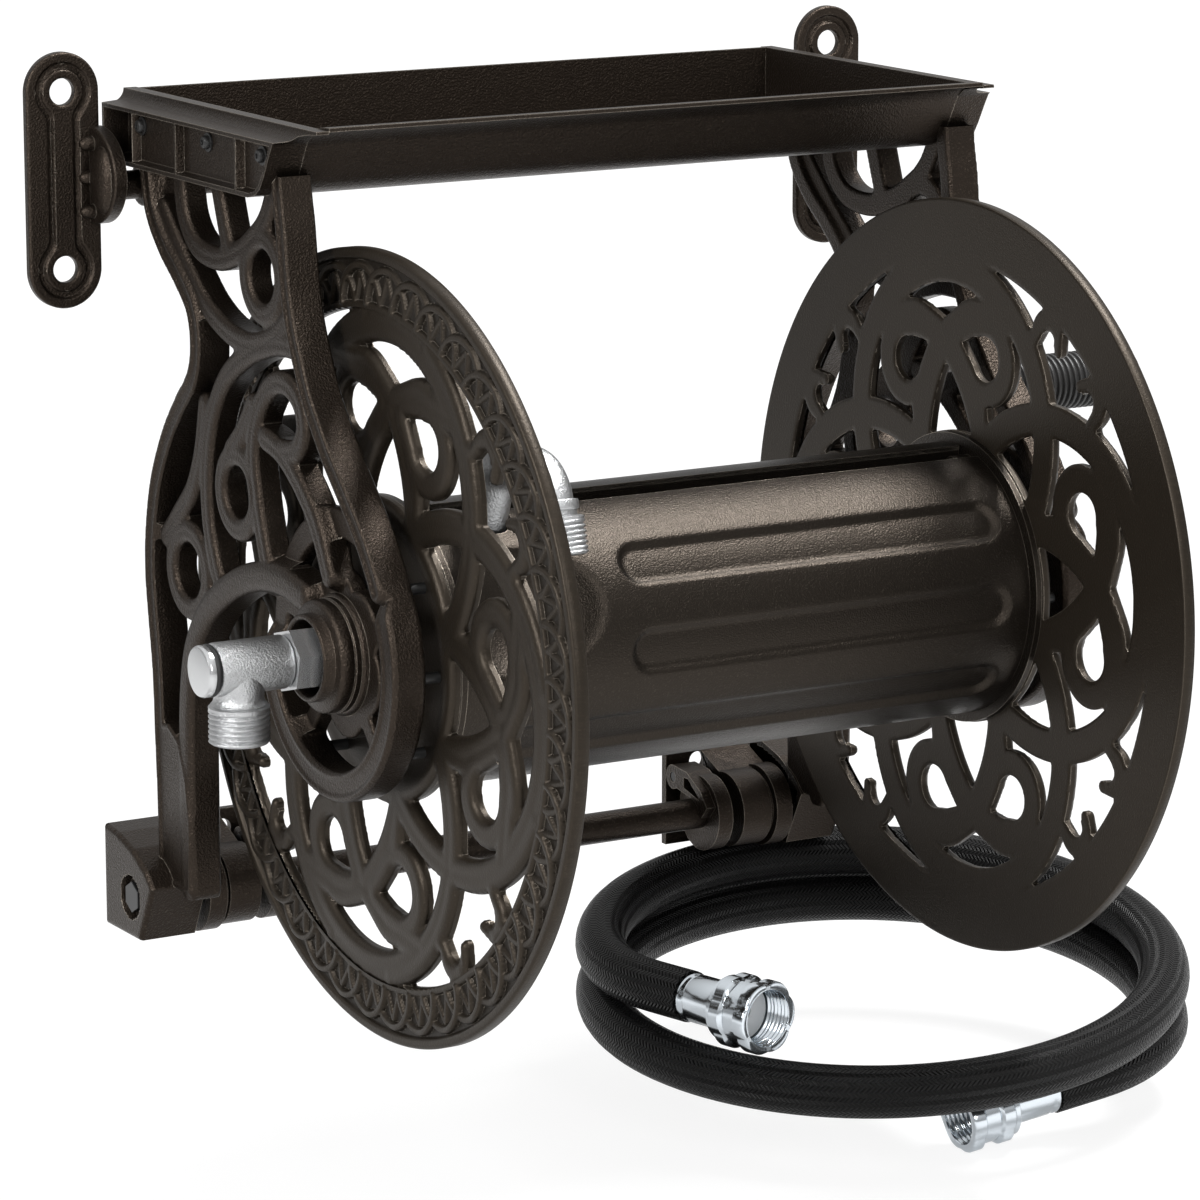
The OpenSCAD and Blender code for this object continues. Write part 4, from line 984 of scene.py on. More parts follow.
@dataclass
class LeaderHose:
    """Short hose in almost two turns that leans on the wall, with a swivel coupling at each end."""

    centre: tuple[float, float, float] = (145.0, 55.5, -183.7)
    side_turn: float = 35.0
    lean: float = 6.5
    radius: float = 133.0
    pitch: float = 24.8
    start: float = 215.0
    end: float = -389.0
    end_turn: float = 30.0
    insets: tuple[float, float] = (8.0, 18.0)
    lifts: tuple[float, float] = (2.0, -2.0)
    hose_d: float = 24.0
    coil_points: int = 190
    ferrule_r: float = 11.25
    ferrule_l: float = 24.0
    nut_gap: float = 0.3
    lobe_fall: float = 1.3
    # A nut's outside: radius, distance along it, and how much of the six lobes it has there
    nut_outside: Sequence[Sequence[float]] = (
        (14.6, 0, 0), (15.2, 0.6, 0), (15.25, 3.0, 0), (16.6, 3.5, 1), (17.25, 4.3, 1), (17.25, 9.7, 1),
        (16.6, 10.5, 1), (15.3, 11.2, 0), (15.25, 14.0, 0), (15.3, 18.2, 0), (16.6, 19.0, 1),
        (17.25, 19.6, 1), (17.25, 24.9, 1), (16.8, 25.7, 1), (15.6, 26.0, 0.4))

    def axes(self) -> tuple[Floats, Floats, Floats]:
        """Right, back and up of the coil's plane."""
        t, n = math.radians(self.side_turn), math.radians(self.lean)
        right = np.array([math.cos(t), -math.sin(t), 0.0])
        back = np.array([math.sin(t) * math.cos(n), math.cos(t) * math.cos(n), math.sin(n)])
        return right, back, np.cross(right, back)

    def at(self, degrees: Floats) -> Floats:
        """Points of the coil at angles: the radius less an inset near each end, falling a pitch a turn."""
        right, back, up = self.axes()
        near = [np.clip(1 - np.abs(degrees - e) / self.end_turn, 0, None) ** 2
                for e in (self.start, self.end)]
        fall = -self.pitch * (self.start - degrees) / 360
        height = fall + self.lifts[0] * near[0] + self.lifts[1] * near[1]
        r = self.radius - self.insets[0] * near[0] - self.insets[1] * near[1]
        a = np.radians(degrees)[:, None]
        flat = r[:, None] * (np.cos(a) * right + np.sin(a) * back)
        return np.array(self.centre) + flat + height[:, None] * up

    def tips(self) -> list[tuple[Floats, Floats]]:
        """Place and direction of both ends, one diameter straight on from the coil."""
        found = []
        for angle, step in ((self.start, -1.0), (self.end, 1.0)):
            p = self.at(np.array([angle, angle + step]))
            d = (p[0] - p[1]) / np.linalg.norm(p[0] - p[1])
            found.append((p[0] + d * self.hose_d, d))
        return found

    def build(self) -> None:
        tips = self.tips()
        coil = self.at(np.linspace(self.start, self.end, self.coil_points))
        t = np.linspace(0, 1, 5)[:, None]
        path = np.vstack([tips[0][0] + (coil[0] - tips[0][0]) * t[:-1], coil,
                          coil[-1] + (tips[1][0] - coil[-1]) * t[1:]])
        pieces = []
        for letter, (tip, d) in zip("ab", tips):
            pieces += [self.ferrule(letter, tip, d), self.nut(letter, tip, d)]
        washers = Surface("nut_washers_flat")
        for tip, d in tips:
            lathe(washers, [(12.8, 9.0), (12.8, 11.4), (12.6, 11.6), (3.2, 11.6), (3, 11.4), (3, 9.2)],
                  tip + d * self.ferrule_l, d, 40, closed=True)
        pieces.append(washers.piece(PALE_RUBBER, "stand", nodes=["nut_washers"]))
        hose = self.hose(path)

    def hose(self, path: Floats, sides: int = 28) -> bpy.types.Object:
        """Makes the hose, with a UV that counts turns round it and millimetres along it.

        Args:
            path: Points of its middle line.
            sides: Points in one ring.

        Returns:
            The new object.
        """
        r = self.hose_d / 2
        rings = rings_along(path, r, sides, self.axes()[2])
        s = distances(path)
        s = np.concatenate([[s[0] - r], s, [s[-1] + r]])
        made = Surface("leader_hose_cover")
        made.grid(rings, around=True)
        i, j = np.meshgrid(np.arange(len(rings) - 1), np.arange(sides), indexing="ij")
        corners = [(i, j), (i, j + 1), (i + 1, j + 1), (i + 1, j)]
        made.uvs.append(np.stack([np.stack([b / sides, s[a]], -1) for a, b in corners], 2).reshape(-1, 2))
        return made.piece(HOSE_COVER, "stand", nodes=["leader_hose"])

    def ferrule(self, letter: str, tip: Floats, d: Floats) -> bpy.types.Object:
        """Makes a ferrule: a crimped sleeve, with the tail and flange that the nut turns on.

        Args:
            letter: a or b.
            tip: End of the hose.
            d: Direction out of the hose.

        Returns:
            The new object.
        """
        made = Surface(f"ferrule_{letter}_sleeve")
        r, l = self.ferrule_r, self.ferrule_l
        sleeve = [(6, 3), (r - 1.2, 0), (r - 0.3, 0.4), (r, 1.4), (r, 3.2), (r - 0.5, 4.0), (r - 0.5, 5.0),
                  (r, 5.8), (r, l - 1.2), (r - 1, l)]
        flange = [(9.5, l), (9.5, l + 6), (11.2, l + 6), (11.5, l + 6.3), (11.5, l + 8.7), (11.2, l + 9),
                  (6, l + 9)]
        lathe(made, sleeve + flange, tip, d, 48, closed=True)
        return made.piece(CHROME, "stand", nodes=[f"ferrule_{letter}"])

    def nut(self, letter: str, tip: Floats, d: Floats) -> bpy.types.Object:
        """Makes a swivel nut: two lobed bands round a plain barrel, and a thread inside its mouth.

        Args:
            letter: a or b.
            tip: End of the hose.
            d: Direction out of the hose.

        Returns:
            The new object.
        """
        made = Surface(f"hose_nut_{letter}_turned")
        outside = np.array(self.nut_outside, float)
        inner_s = np.linspace(25.6, 12.2, 46)
        inner_r = 13.55 + 0.45 * np.cos(inner_s * 2 * math.pi / THREAD.pitch)
        profile = np.vstack([outside[:, :2], np.stack([inner_r, inner_s], -1),
                             [(13.8, 11.9), (13.8, 5.4), (9.6, 5.4), (9.6, 0)]])
        lobes = np.concatenate([outside[:, 2], np.zeros(len(profile) - len(outside))])[:, None]

        def shape(turn: Floats, radius: Floats, along: Floats) -> Floats:
            """Radius less the flats between six lobes: a share of a hexagon's fall from its corners."""
            across = np.abs((turn / (math.pi / 3)) % 1 - 0.5) * 2
            return radius - lobes * self.lobe_fall * np.clip(1 - across, 0, 1) ** 2

        lathe(made, profile, tip + d * (self.ferrule_l + self.nut_gap), d, 96, shape=shape, closed=True)
        return made.piece(CHROME, f"nut_{letter}", nodes=[f"hose_nut_{letter}"])


@dataclass
class ScrollDisc:
    """Pierced disc at one end of the drum: cast scrolls inside a ring of interlaced arches."""

    name: str
    half_turn: bool
    radius: float = 172.5
    ring: float = 147.0
    hub: float = 67.0
    bore: float = 20.0
    turn: float = 7.5
    inner_face: float = 147.5
    plate_face: float = 151.5
    relief: float = 1.7
    lap: float = 2.2
    arches: int = 42
    arch_r: float = 16.6
    arch_half: float = 1.75
    arch_height: float = 2.2
    arch_dip: float = 0.4
    roof_top: float = 14.0
    roof_slope: float = 2.3
    roof_height: float = 1.4
    bead_height: float = 2.0
    rim_height: float = 2.1
    ground_height: float = 0.15
    lace_rows: int = 54
    columns: int = 36

    def petal(self, p: Plane) -> Floats:
        """Cuts of one petal, with the plane's second axis out through it; both halves mirror each other."""
        s = (np.abs(p[0]), p[1])
        # Centres, corners and radii are in mm from the disc's centre
        crest = [(-80, -20), (-80, 125.5), (-35, 126), (-14, 124.8), (0, 117.8), (14, 124.8), (35, 126),
                 (80, 125.5), (80, -20)]
        lobes = less(round_area(p, (0, 70), 64.5), round_area(s, (25, 103), 24.3), polygon_area(p, crest))
        teardrop = less(both(round_area(s, (-57.9, 48.5), 76.2), box_area(p, (-30, 0), (30, 120))),
                        away(p, (0, 0)) - self.hub)
        bead = either(round_area(s, (31.5, 99.5), 10.3),
                      polygon_area(s, [(31, 109.7), (24, 109.6), (13.5, 107.3), (17.5, 102), (25, 91.6)]))
        crescent = less(round_area(s, (0, 70), 66), round_area(s, (33, 99), 21.5), round_area(s, (70, 0), 81),
                        s[0] - 30.5, 110 - s[1])
        sliver = less(away(s, (0, 0)) - 146, round_area(s, (0, 70), 81), round_area(s, (82, 109.5), 13.2),
                      s[0] - 33, 78.5 - s[0], s[1] - 114)
        return either(lobes, teardrop, bead, crescent, sliver)

    def fleur(self, p: Plane) -> Floats:
        """Cuts on the diagonal between two petals: a fleur with curled arms, and a window below it."""
        s = (np.abs(p[0]), p[1])
        shoulder = less(box_area(s, (14.2, 120), (64.2, 160)), round_area(s, (19, 134), 4.6),
                        box_area(s, (10, 100), (24, 134)))
        curl = band_area(s, [(10.5, 135.6), (14.2, 141.3), (18, 147)], 5.5)
        fleur = less(both(away(p, (0, 0)) - 146, box_area(p, (-30, 114), (30, 154))),
                     round_area(s, (49.5, 49.5), 81), shoulder, curl)
        window = less(both(round_area(s, (-49.5, 49.5), 66), box_area(p, (-25, 0), (25, 120))),
                      away(p, (0, 0)) - self.hub)
        return either(fleur, window)

    def cuts(self, p: Plane) -> Floats:
        """All cuts: four petals a quarter turn apart, and a fleur on every diagonal."""
        found = [self.petal(turned(p, self.turn + 90 * q)) for q in range(4)]
        found += [self.fleur(turned(p, self.turn + 45 + 90 * q)) for q in range(4)]
        return either(*found)

    def area(self, p: Plane) -> Floats:
        """The pierced middle: it laps under the lace, outside the cuts and the bore."""
        return less(away(p, (0, 0)) - self.ring - self.lap, self.cuts(p), away(p, (0, 0)) - self.bore)

    def front(self, p: Plane) -> Floats:
        """Outer face: every band is rounded at its edges and a little hollow along its middle."""
        depth = np.maximum(self.cuts(p), 0)
        # The lap sinks by 2 mm within 1 mm, out of sight under the lace
        under = 2.0 * np.clip(away(p, (0, 0)) - self.ring - 0.3, 0, 1)
        return -(self.plate_face + self.relief + crown(depth, 4.4, 2.7, 0.35) - under)

    def back(self, p: Plane) -> Floats:
        """Inner face: flat, with its edges just broken, and a hair behind the lace's, which laps over it."""
        return -(self.inner_face + 0.03 - crown(np.maximum(self.cuts(p), 0), 1.3, 0.6))

    def lace_height(self, turn: Floats, r: Floats) -> Floats:
        """Height of the lace over the plate: the highest of a bead, a rim, the arches and their roofs.

        Each arch is a ridge along a circle whose centre is on the inner ring, and its right leg dips under
        the next arch's left one.

        Args:
            turn: Angles, in radians.
            r: Distances from the axle.

        Returns:
            Heights in millimetres.
        """
        step = 2 * math.pi / self.arches
        height = np.full(turn.shape, self.ground_height)
        for neighbour in (-1, 0, 1):
            local = (turn + step / 2) % step - step / 2 + neighbour * step
            x, y = r * np.sin(local), r * np.cos(local) - self.ring - 1.5
            leg = self.arch_height - self.arch_dip * np.tanh(x / 4)
            off = np.abs((np.hypot(x, y) - self.arch_r) / self.arch_half)
            arch = leg * np.sqrt(np.clip(1 - off**6, 0, 1)) * (y > -1)
            off = np.abs(y - (self.roof_top - self.roof_slope * np.abs(x))) / 2.5 / 1.45
            roof = self.roof_height * np.sqrt(np.clip(1 - off**6, 0, 1))
            roof = roof * (np.abs(x) < 7) * (y < self.roof_top)
            height = np.maximum(height, np.maximum(arch, roof))
        bead = self.bead_height * np.sqrt(np.clip(1 - ((r - self.ring - 0.6) / 2.2) ** 4, 0, 1))
        rim = self.rim_height * np.sqrt(np.clip(1 - ((r - self.radius + 2.4) / 2.5) ** 4, 0, 1))
        return np.maximum(height, np.maximum(bead, rim))

    def place(self, y: Floats, z: Floats, x: Floats) -> Floats:
        """Puts points of the left disc in place; the right one is the same casting turned half round."""
        s = -1.0 if self.half_turn else 1.0
        return np.stack([x * s, y * s, z], -1)

    def build(self, finish: Finish) -> None:
        """Builds the pierced middle and the lace ring."""
        middle = Surface(f"{self.name}_scrolls")
        window = self.ring + 3
        pierced(middle, self.area, (-window, -window), (window, window), 1.2, self.front, self.back,
                self.place, flip=True)
        middle.piece(finish, "reel", sharp=50, nodes=[self.name])
        lace = Surface(f"{self.name}_lace")
        # The same rows go round the rim and back along the flat inner face, past the middle's edge
        n = self.lace_rows
        r = np.concatenate([np.linspace(self.ring, self.radius, n), [self.radius] * 2,
                            self.radius - np.array([0.3, 1.3, 2.3]), [self.ring + 1.6]])
        turn = np.linspace(0, 2 * math.pi, self.arches * self.columns, endpoint=False)
        rr, tt = np.meshgrid(r, turn, indexing="ij")
        height = self.lace_height(tt, rr)
        x = -(self.plate_face + height)
        # Painted shade: the lace is darkened where it lies low, between its arches and roofs
        lace.painted_recess_shade = np.clip(1 - height / 1.3, 0, 1) * 0.5 * (np.arange(len(r)) < n)[:, None]
        x[n - 1 : n + 1] = -(self.plate_face + 1.2)
        x[n + 1] = -(self.inner_face + 0.3)
        x[n + 2 :] = -self.inner_face
        lace.grid(self.place(rr * np.cos(tt), rr * np.sin(tt), x), around=True)
        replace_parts(lace.piece(finish, "reel", sharp=60), self.name)


@dataclass
class SideFrame:
    """Cast side frame: load bands, scrolls between them, the ring with its spokes and boss, and the foot."""

    side: Side
    node: str
    outer: float = 178.0
    inner: float = 162.0
    ring_r: float = 62.5
    ring_w: float = 12.0
    ring_sinks: float = 11.5
    foot_face: float = 189.0
    top_rod: tuple[float, float] = (187.0, 180.0)
    low_rod: tuple[float, float] = (175.0, -146.5)
    spokes: Sequence[float] = (25, 100, 165, 230, 310)
    # Middle lines of both load bands, the arch and the scrolls: y and z from the axle, and y grows to the wall
    rear: Sequence[Sequence[float]] = (
        (171, 192), (166, 172), (154, 157), (138, 144.5), (125.5, 132), (121.8, 116), (126, 101), (140, 86),
        (153, 70), (165, 48), (171, 25), (172.3, 5), (170, -15), (166.5, -40), (165, -70), (163, -100),
        (162, -130))
    leg: Sequence[Sequence[float]] = (
        (41, 206), (40, 192), (37.5, 180), (35.5, 165), (33, 150), (29, 137), (23, 123.5), (16, 110),
        (7, 98), (-3, 86), (-13, 76), (-23, 66), (-33, 55), (-41, 44), (-46, 36))
    arch: Sequence[Sequence[float]] = (
        (141, -136), (141, -70), (139, -42), (133, -22), (120, -5), (104, 7), (84, 17), (62, 23), (42, 24),
        (24, 21))
    scrolls: Sequence[Sequence[Sequence[float]]] = (
        ((30, 128), (50, 127), (75, 119), (98, 105), (112, 85), (118, 60), (117, 38), (111, 20), (104, 8)),
        ((60, 28), (66, 45), (71, 62), (72, 80), (66, 96), (54, 108), (40, 111), (28, 105), (24, 94),
         (30, 84), (42, 81)),
        ((60, 84), (45, 80), (28, 69), (13, 54), (2, 34)),
        ((119, 90), (124, 68), (133, 50), (147, 36), (160, 24)),
        ((141, 192), (137, 172), (125, 160), (107, 157), (90, 160), (72, 168), (58, 179), (50, 192)),
        ((158, 172), (148, 162), (132, 147), (115, 134), (95, 126), (75, 123.5), (57, 127), (44, 133),
         (36, 139)),
        ((104, 192), (99, 178), (93, 162)),
        ((72, 97), (82, 84), (93, 74)))
    # Rings among the scrolls: centre and outer radius
    loops: Sequence[Sequence[float]] = ((137, 12, 23), (87, 56, 22), (60, 155, 22))
    # Outline of the closed part of the leg over the foot
    closed_leg: Sequence[Sequence[float]] = (
        (168, -66), (167, -138), (136, -138), (134.5, -104), (138, -84), (145, -68), (156, -62))
    # The tray's outside, which the casting stays below, closed well above it
    tray: Sequence[Sequence[float]] = (
        (199, 222), (199, 195), (197.5, 191.5), (194, 190), (57, 190), (50, 191.5), (45, 195), (41, 201),
        (36, 210), (33, 215), (28, 219), (20, 221), (13, 221.5), (13, 250), (209, 250), (209, 190),
        (199, 190))
    # The foot's side: y, and height over its sole
    foot: Sequence[Sequence[float]] = (
        (203, 0), (166, 0), (152, 28), (159, 34.56), (173, 42.24), (189, 46.56), (203, 48))
    # The bearing boss: radius, and distance out from the inner face
    boss: Sequence[Sequence[float]] = (
        (15, 0), (26.5, 0), (26.5, 9.5), (25.6, 10.4), (24.9, 10.7), (24.9, 13), (24.0, 13.6), (24.5, 14.4),
        (24.5, 18.2), (23.8, 19.4), (22.4, 20.0), (19.7, 20.1), (19.1, 20.6), (19.0, 24.6), (18.5, 25.3),
        (17.6, 25.5), (16.8, 25.1), (16.5, 24.4), (16.5, 13.5), (15, 13.5))

    def layers(self, p: Plane) -> list[tuple[Floats, float | Floats, float, float, float, float]]:
        """The casting's layers: area, outer height, inner height, shoulder, drop and dish of each."""
        load = cast_together(3, band_area(p, self.rear, 9.5), band_area(p, self.leg, 9),
                             polygon_area(p, self.closed_leg))
        arch = band_area(p, self.arch, 13.5)
        # The ring is as deep as the leg below and sinks to the web over the boss, between the two load bands
        out, across = turned(p, 72)
        over = np.clip((math.radians(84) - np.abs(np.arctan2(across, out))) / math.radians(24), 0, 1)
        ring = ring_area(p, (0, 0), self.ring_r, self.ring_w)
        ring_top = self.outer - self.ring_sinks * over * over * (3 - 2 * over)
        scroll = cast_together(3, *[band_area(p, line, 11) for line in self.scrolls],
                               *[ring_area(p, c[:2], c[2], 10.5) for c in self.loops])
        lobes = 31 + 5.5 * np.abs(np.sin(3 * np.arctan2(p[1], p[0]) + 0.5)) ** 0.8
        web = cast_together(3, away(p, (0, 0)) - lobes, ring, *[
            box_area(turned(p, 180 - a), (0, -4.5), (52.5, 4.5)) for a in self.spokes])
        eye = cast_together(2, away(p, self.top_rod) - 9.9, box_area(p, (161, 175), (181, 190)))
        return [(load, self.outer, self.inner, 1.5, 0.9, 1.1),
                (ring, ring_top, self.inner, 1.5, 0.9, 0.8),
                (arch, self.outer - 0.5, self.inner, 5.5, 2.8, 0.0),
                (scroll, self.outer - 2, self.inner + 2, 3.6, 2.2, 0.9),
                (web, self.inner + 8, self.inner, 1.8, 1.2, 0.0),
                (eye, self.inner + 10, self.inner, 1.5, 1.0, 0.0)]

    def area(self, p: Plane) -> Floats:
        """Outline of the flat casting: all layers, below the tray and clear of the bores."""
        whole = cast_together(2.5, *[layer[0] for layer in self.layers(p)])
        return less(whole, polygon_area(p, self.tray), away(p, self.top_rod) - 6.6,
                    away(p, self.low_rod) - 12.5, away(p, (0, 0)) - 15.2)

    def front(self, p: Plane) -> Floats:
        """Outer face: the highest layer at every point; past its edge a layer falls two for one."""
        tops = [h + crown(np.maximum(-a, 0), s, d, dish) - 2 * np.maximum(a, 0)
                for a, h, _, s, d, dish in self.layers(p)]
        return -np.maximum(np.maximum.reduce(tops), self.inner + 3)

    def back(self, p: Plane) -> Floats:
        """Inner face: the lowest layer at every point, with its edges broken."""
        lows = [h - crown(np.maximum(-a, 0), 2.0, 1.2) + 2 * np.maximum(a, 0)
                for a, _, h, *_ in self.layers(p)]
        return -np.minimum(np.minimum.reduce(lows), self.inner + 6)

    def foot_outline(self, p: Plane) -> Floats:
        """Signed distance to the foot's side."""
        sole = self.low_rod[1] - 19
        return polygon_area(p, [(y, sole + z) for y, z in self.foot])

    def build(self) -> None:
        """Builds the whole casting as one piece."""
        made = Surface(self.node + "_casting")
        flip = self.side is Side.LEFT
        place = seen_from_side(self.side)
        outwards = (-self.side.value, 0, 0)
        pierced(made, self.area, (-67, -141), (201, 200), 0.85, self.front, self.back, place, flip)

        def foot_front(p: Plane) -> Floats:
            """Outer face of the foot, with the bolt's round recess."""
            edge = np.maximum(-self.foot_outline(p), 0)
            return -(self.foot_face + crown(edge, 2.4, 2.0) - 4.0 * (away(p, self.low_rod) < 9.8))

        def foot_back(p: Plane) -> Floats:
            """Inner face of the foot: a hollow behind a 3.5 mm wall."""
            return -np.where(self.foot_outline(p) < -3.5, self.foot_face - 5, self.inner - 1)

        pierced(made, lambda p: less(self.foot_outline(p), away(p, self.low_rod) - 4.2),
                (150, -167), (204, -116), 1.0, foot_front, foot_back, place, flip)
        lathe(made, self.boss, (-self.inner * self.side.value, 0, 0), outwards, 72, closed=True)
        # The socket inside the foot that takes the lower rod's end
        lathe(made, [(7.6, 0), (11.5, 0), (11.5, 23), (7.6, 23)],
              (-(self.foot_face - 28) * self.side.value, *self.low_rod), outwards, 40, closed=True)
        made.piece(BRONZE, "stand", sharp=50, nodes=[self.node])


@dataclass
class Drum:
    """Drum of one rolled sheet: a slot along its top, pressed flutes, and a dish under the outlet."""

    radius: float = 62.0
    wall: float = 2.0
    half_length: float = 144.2
    slot_at: float = 79.0
    slot_half: float = 6.48
    flute_w: float = 19.0
    flute_depth: float = 2.4
    # Flutes: angle over the front, and both ends along the axle
    flutes: Sequence[Sequence[float]] = (
        (36, -61, 133.5), (0, -61, 133.5), (-36, -133.5, 133.5), (122, -133.5, 133.5), (158, -133.5, 133.5),
        (194, -133.5, 133.5))
    dish_at: tuple[float, float] = (-112.0, 22.0)
    dish_r: float = 60.0
    dish_mouth: float = 38.0

    def arc(self, degrees: float) -> float:
        """Distance along the sheet from the front to an angle over it."""
        return self.radius * math.radians(degrees)

    def lips(self) -> tuple[float, float]:
        """Distance along the sheet to both lips of the slot, the first one a whole turn back."""
        low = self.arc(self.slot_at + self.slot_half) - 2 * math.pi * self.radius
        return low, self.arc(self.slot_at - self.slot_half)

    def outer(self, p: Plane) -> Floats:
        """Radius of the outer face at x and the distance round: the drum's, less flutes and the dish.

        A flute is a round ended bar whose floor is met by a 2.8 mm slope shaped as 3t squared - 2t cubed. The
        dish is a ball pressed in: its near side is D cos t - sqrt(R squared - dx squared - (D sin t) squared)
        out.

        Args:
            p: Places along the axle and distances round the sheet.

        Returns:
            Distances from the axle.
        """
        r = np.full(p[0].shape, self.radius)
        turn = 2 * math.pi * self.radius
        for angle, x0, x1 in self.flutes:
            v = (p[1] - self.arc(angle) + turn / 2) % turn - turn / 2
            mid, half = (x0 + x1) / 2, (x1 - x0 - self.flute_w) / 2
            u = np.maximum(np.abs(p[0] - mid) - half, 0)
            t = np.clip((self.flute_w / 2 + 0.8 - np.hypot(u, v)) / 2.8, 0, 1)
            r -= self.flute_depth * t * t * (3 - 2 * t)
        d = self.radius + math.sqrt(self.dish_r**2 - self.dish_mouth**2)
        t = p[1] / self.radius - math.radians(self.dish_at[1])
        inside = self.dish_r**2 - (p[0] - self.dish_at[0]) ** 2 - (d * np.sin(t)) ** 2
        ball = d * np.cos(t) - np.sqrt(np.maximum(inside, 0))
        ball = np.where((inside > 0) & (np.cos(t) > 0), ball, 1e3)
        h = np.maximum(2.5 - np.abs(r - ball), 0)
        return np.minimum(r, ball) - h * h / 10

    def area(self, p: Plane) -> Floats:
        """The sheet: from one lip of the slot round to the other, less the outlet's notch."""
        low, high = self.lips()
        sheet = box_area(p, (-self.half_length, low), (self.half_length, high))
        return less(sheet, away(p, (self.dish_at[0], self.arc(68))) - 11.6)

    def rolled(self, x: Floats, v: Floats, r: Floats) -> Floats:
        """Rolls the sheet up: it stands at the angle v / radius over the front."""
        return np.stack([x, -r * np.cos(v / self.radius), r * np.sin(v / self.radius)], -1)

    def build(self) -> None:
        """Builds the sheet and the two flanges that turn in from its lips."""
        made = Surface("drum_pressed_sheet")
        low, high = self.lips()
        pierced(made, self.area, (-self.half_length - 1, low - 1), (self.half_length + 2, high + 2), 1.5,
                self.outer, lambda p: self.outer(p) - self.wall, self.rolled)
        for sign in (1, -1):
            edge = math.radians(self.slot_at + sign * self.slot_half)
            out = np.array([-math.cos(edge), math.sin(edge)])
            across = sign * np.array([math.sin(edge), math.cos(edge)])
            loop = np.array([out * 61.6, out * 53.5, out * 53.5 + across * 2, out * 60.6 + across * 2.4])
            flange = bars(loop[::sign], -self.half_length + 0.5, self.half_length - 0.5)
            made.grid(flange, along=True)
            made.put(flange[:, 0], np.array([[0, 1, 2, 3]]))
            made.put(flange[:, 1], np.array([[3, 2, 1, 0]]))
        made.piece(DRUM_BRONZE, "reel", sharp=50, nodes=["drum_sheet"])


@dataclass
class Outlet:
    """Gooseneck from the water tube out over the drum, ending in a male hose thread."""

    x: float = -112.0
    lean: float = 22.0
    rise: float = 78.7
    bends: tuple[float, float] = (20.0, 16.0)
    end_lean: float = 15.0
    out: float = 80.0
    bar_r: float = 9.5

    def centreline(self) -> tuple[Floats, Floats, Floats]:
        """Centre line: a rise, two bends and the run between them.

        Returns:
            The line in the reel, its end, and the direction there.
        """
        a, b = self.bends
        t1, t2 = math.radians(90 - self.lean), math.radians(180 - self.lean - self.end_lean)
        lean = math.radians(self.lean)
        run = self.out - b - self.rise * math.sin(lean) - a * math.cos(lean)
        ca = np.array([-a, self.rise])
        along, across = np.array([-math.sin(t1), math.cos(t1)]), np.array([math.cos(t1), math.sin(t1)])
        cb = ca + run * along + (a - b) * across
        first, second = np.linspace(0, t1, 14), np.linspace(t1, t2, 14)
        flat = np.vstack([[(0, 10.0)], ca + a * np.stack([np.cos(first), np.sin(first)], -1),
                          cb + b * np.stack([np.cos(second), np.sin(second)], -1)])
        way = self.to_reel(np.array([[-math.sin(t2), math.cos(t2)]])) - self.to_reel(np.zeros((1, 2)))
        return self.to_reel(flat), self.to_reel(flat[-1:])[0], way[0]

    def to_reel(self, p: Floats) -> Floats:
        """Leans points of the gooseneck's plane forwards and stands them on the water tube."""
        c, s = math.cos(math.radians(self.lean)), math.sin(math.radians(self.lean))
        return np.stack([np.full(len(p), self.x), p[:, 0] * c - p[:, 1] * s, p[:, 0] * s + p[:, 1] * c], -1)

    def build(self) -> None:
        """Builds the neck, its collar and the thread."""
        made = Surface("outlet_gooseneck")
        line, end, way = self.centreline()
        made.grid(rings_along(line, self.bar_r, 36, (1.0, 0.0, 0.0)), around=True)
        collar = [(6.3, -0.5), (9.9, -0.5), (11.2, -0.2), (11.5, 0.4), (11.5, 3.4), (11.1, 4.0), (10.4, 4.2),
                  (10.4, 6.4)]
        lathe(made, collar + THREAD.profile(6.4, 23.0) + [(6.3, 23.0)], end, way, 64, closed=True,
              shape=THREAD.cut(7.5, 22.0))
        made.piece(CAST_ZINC, "reel", nodes=["outlet_elbow"])


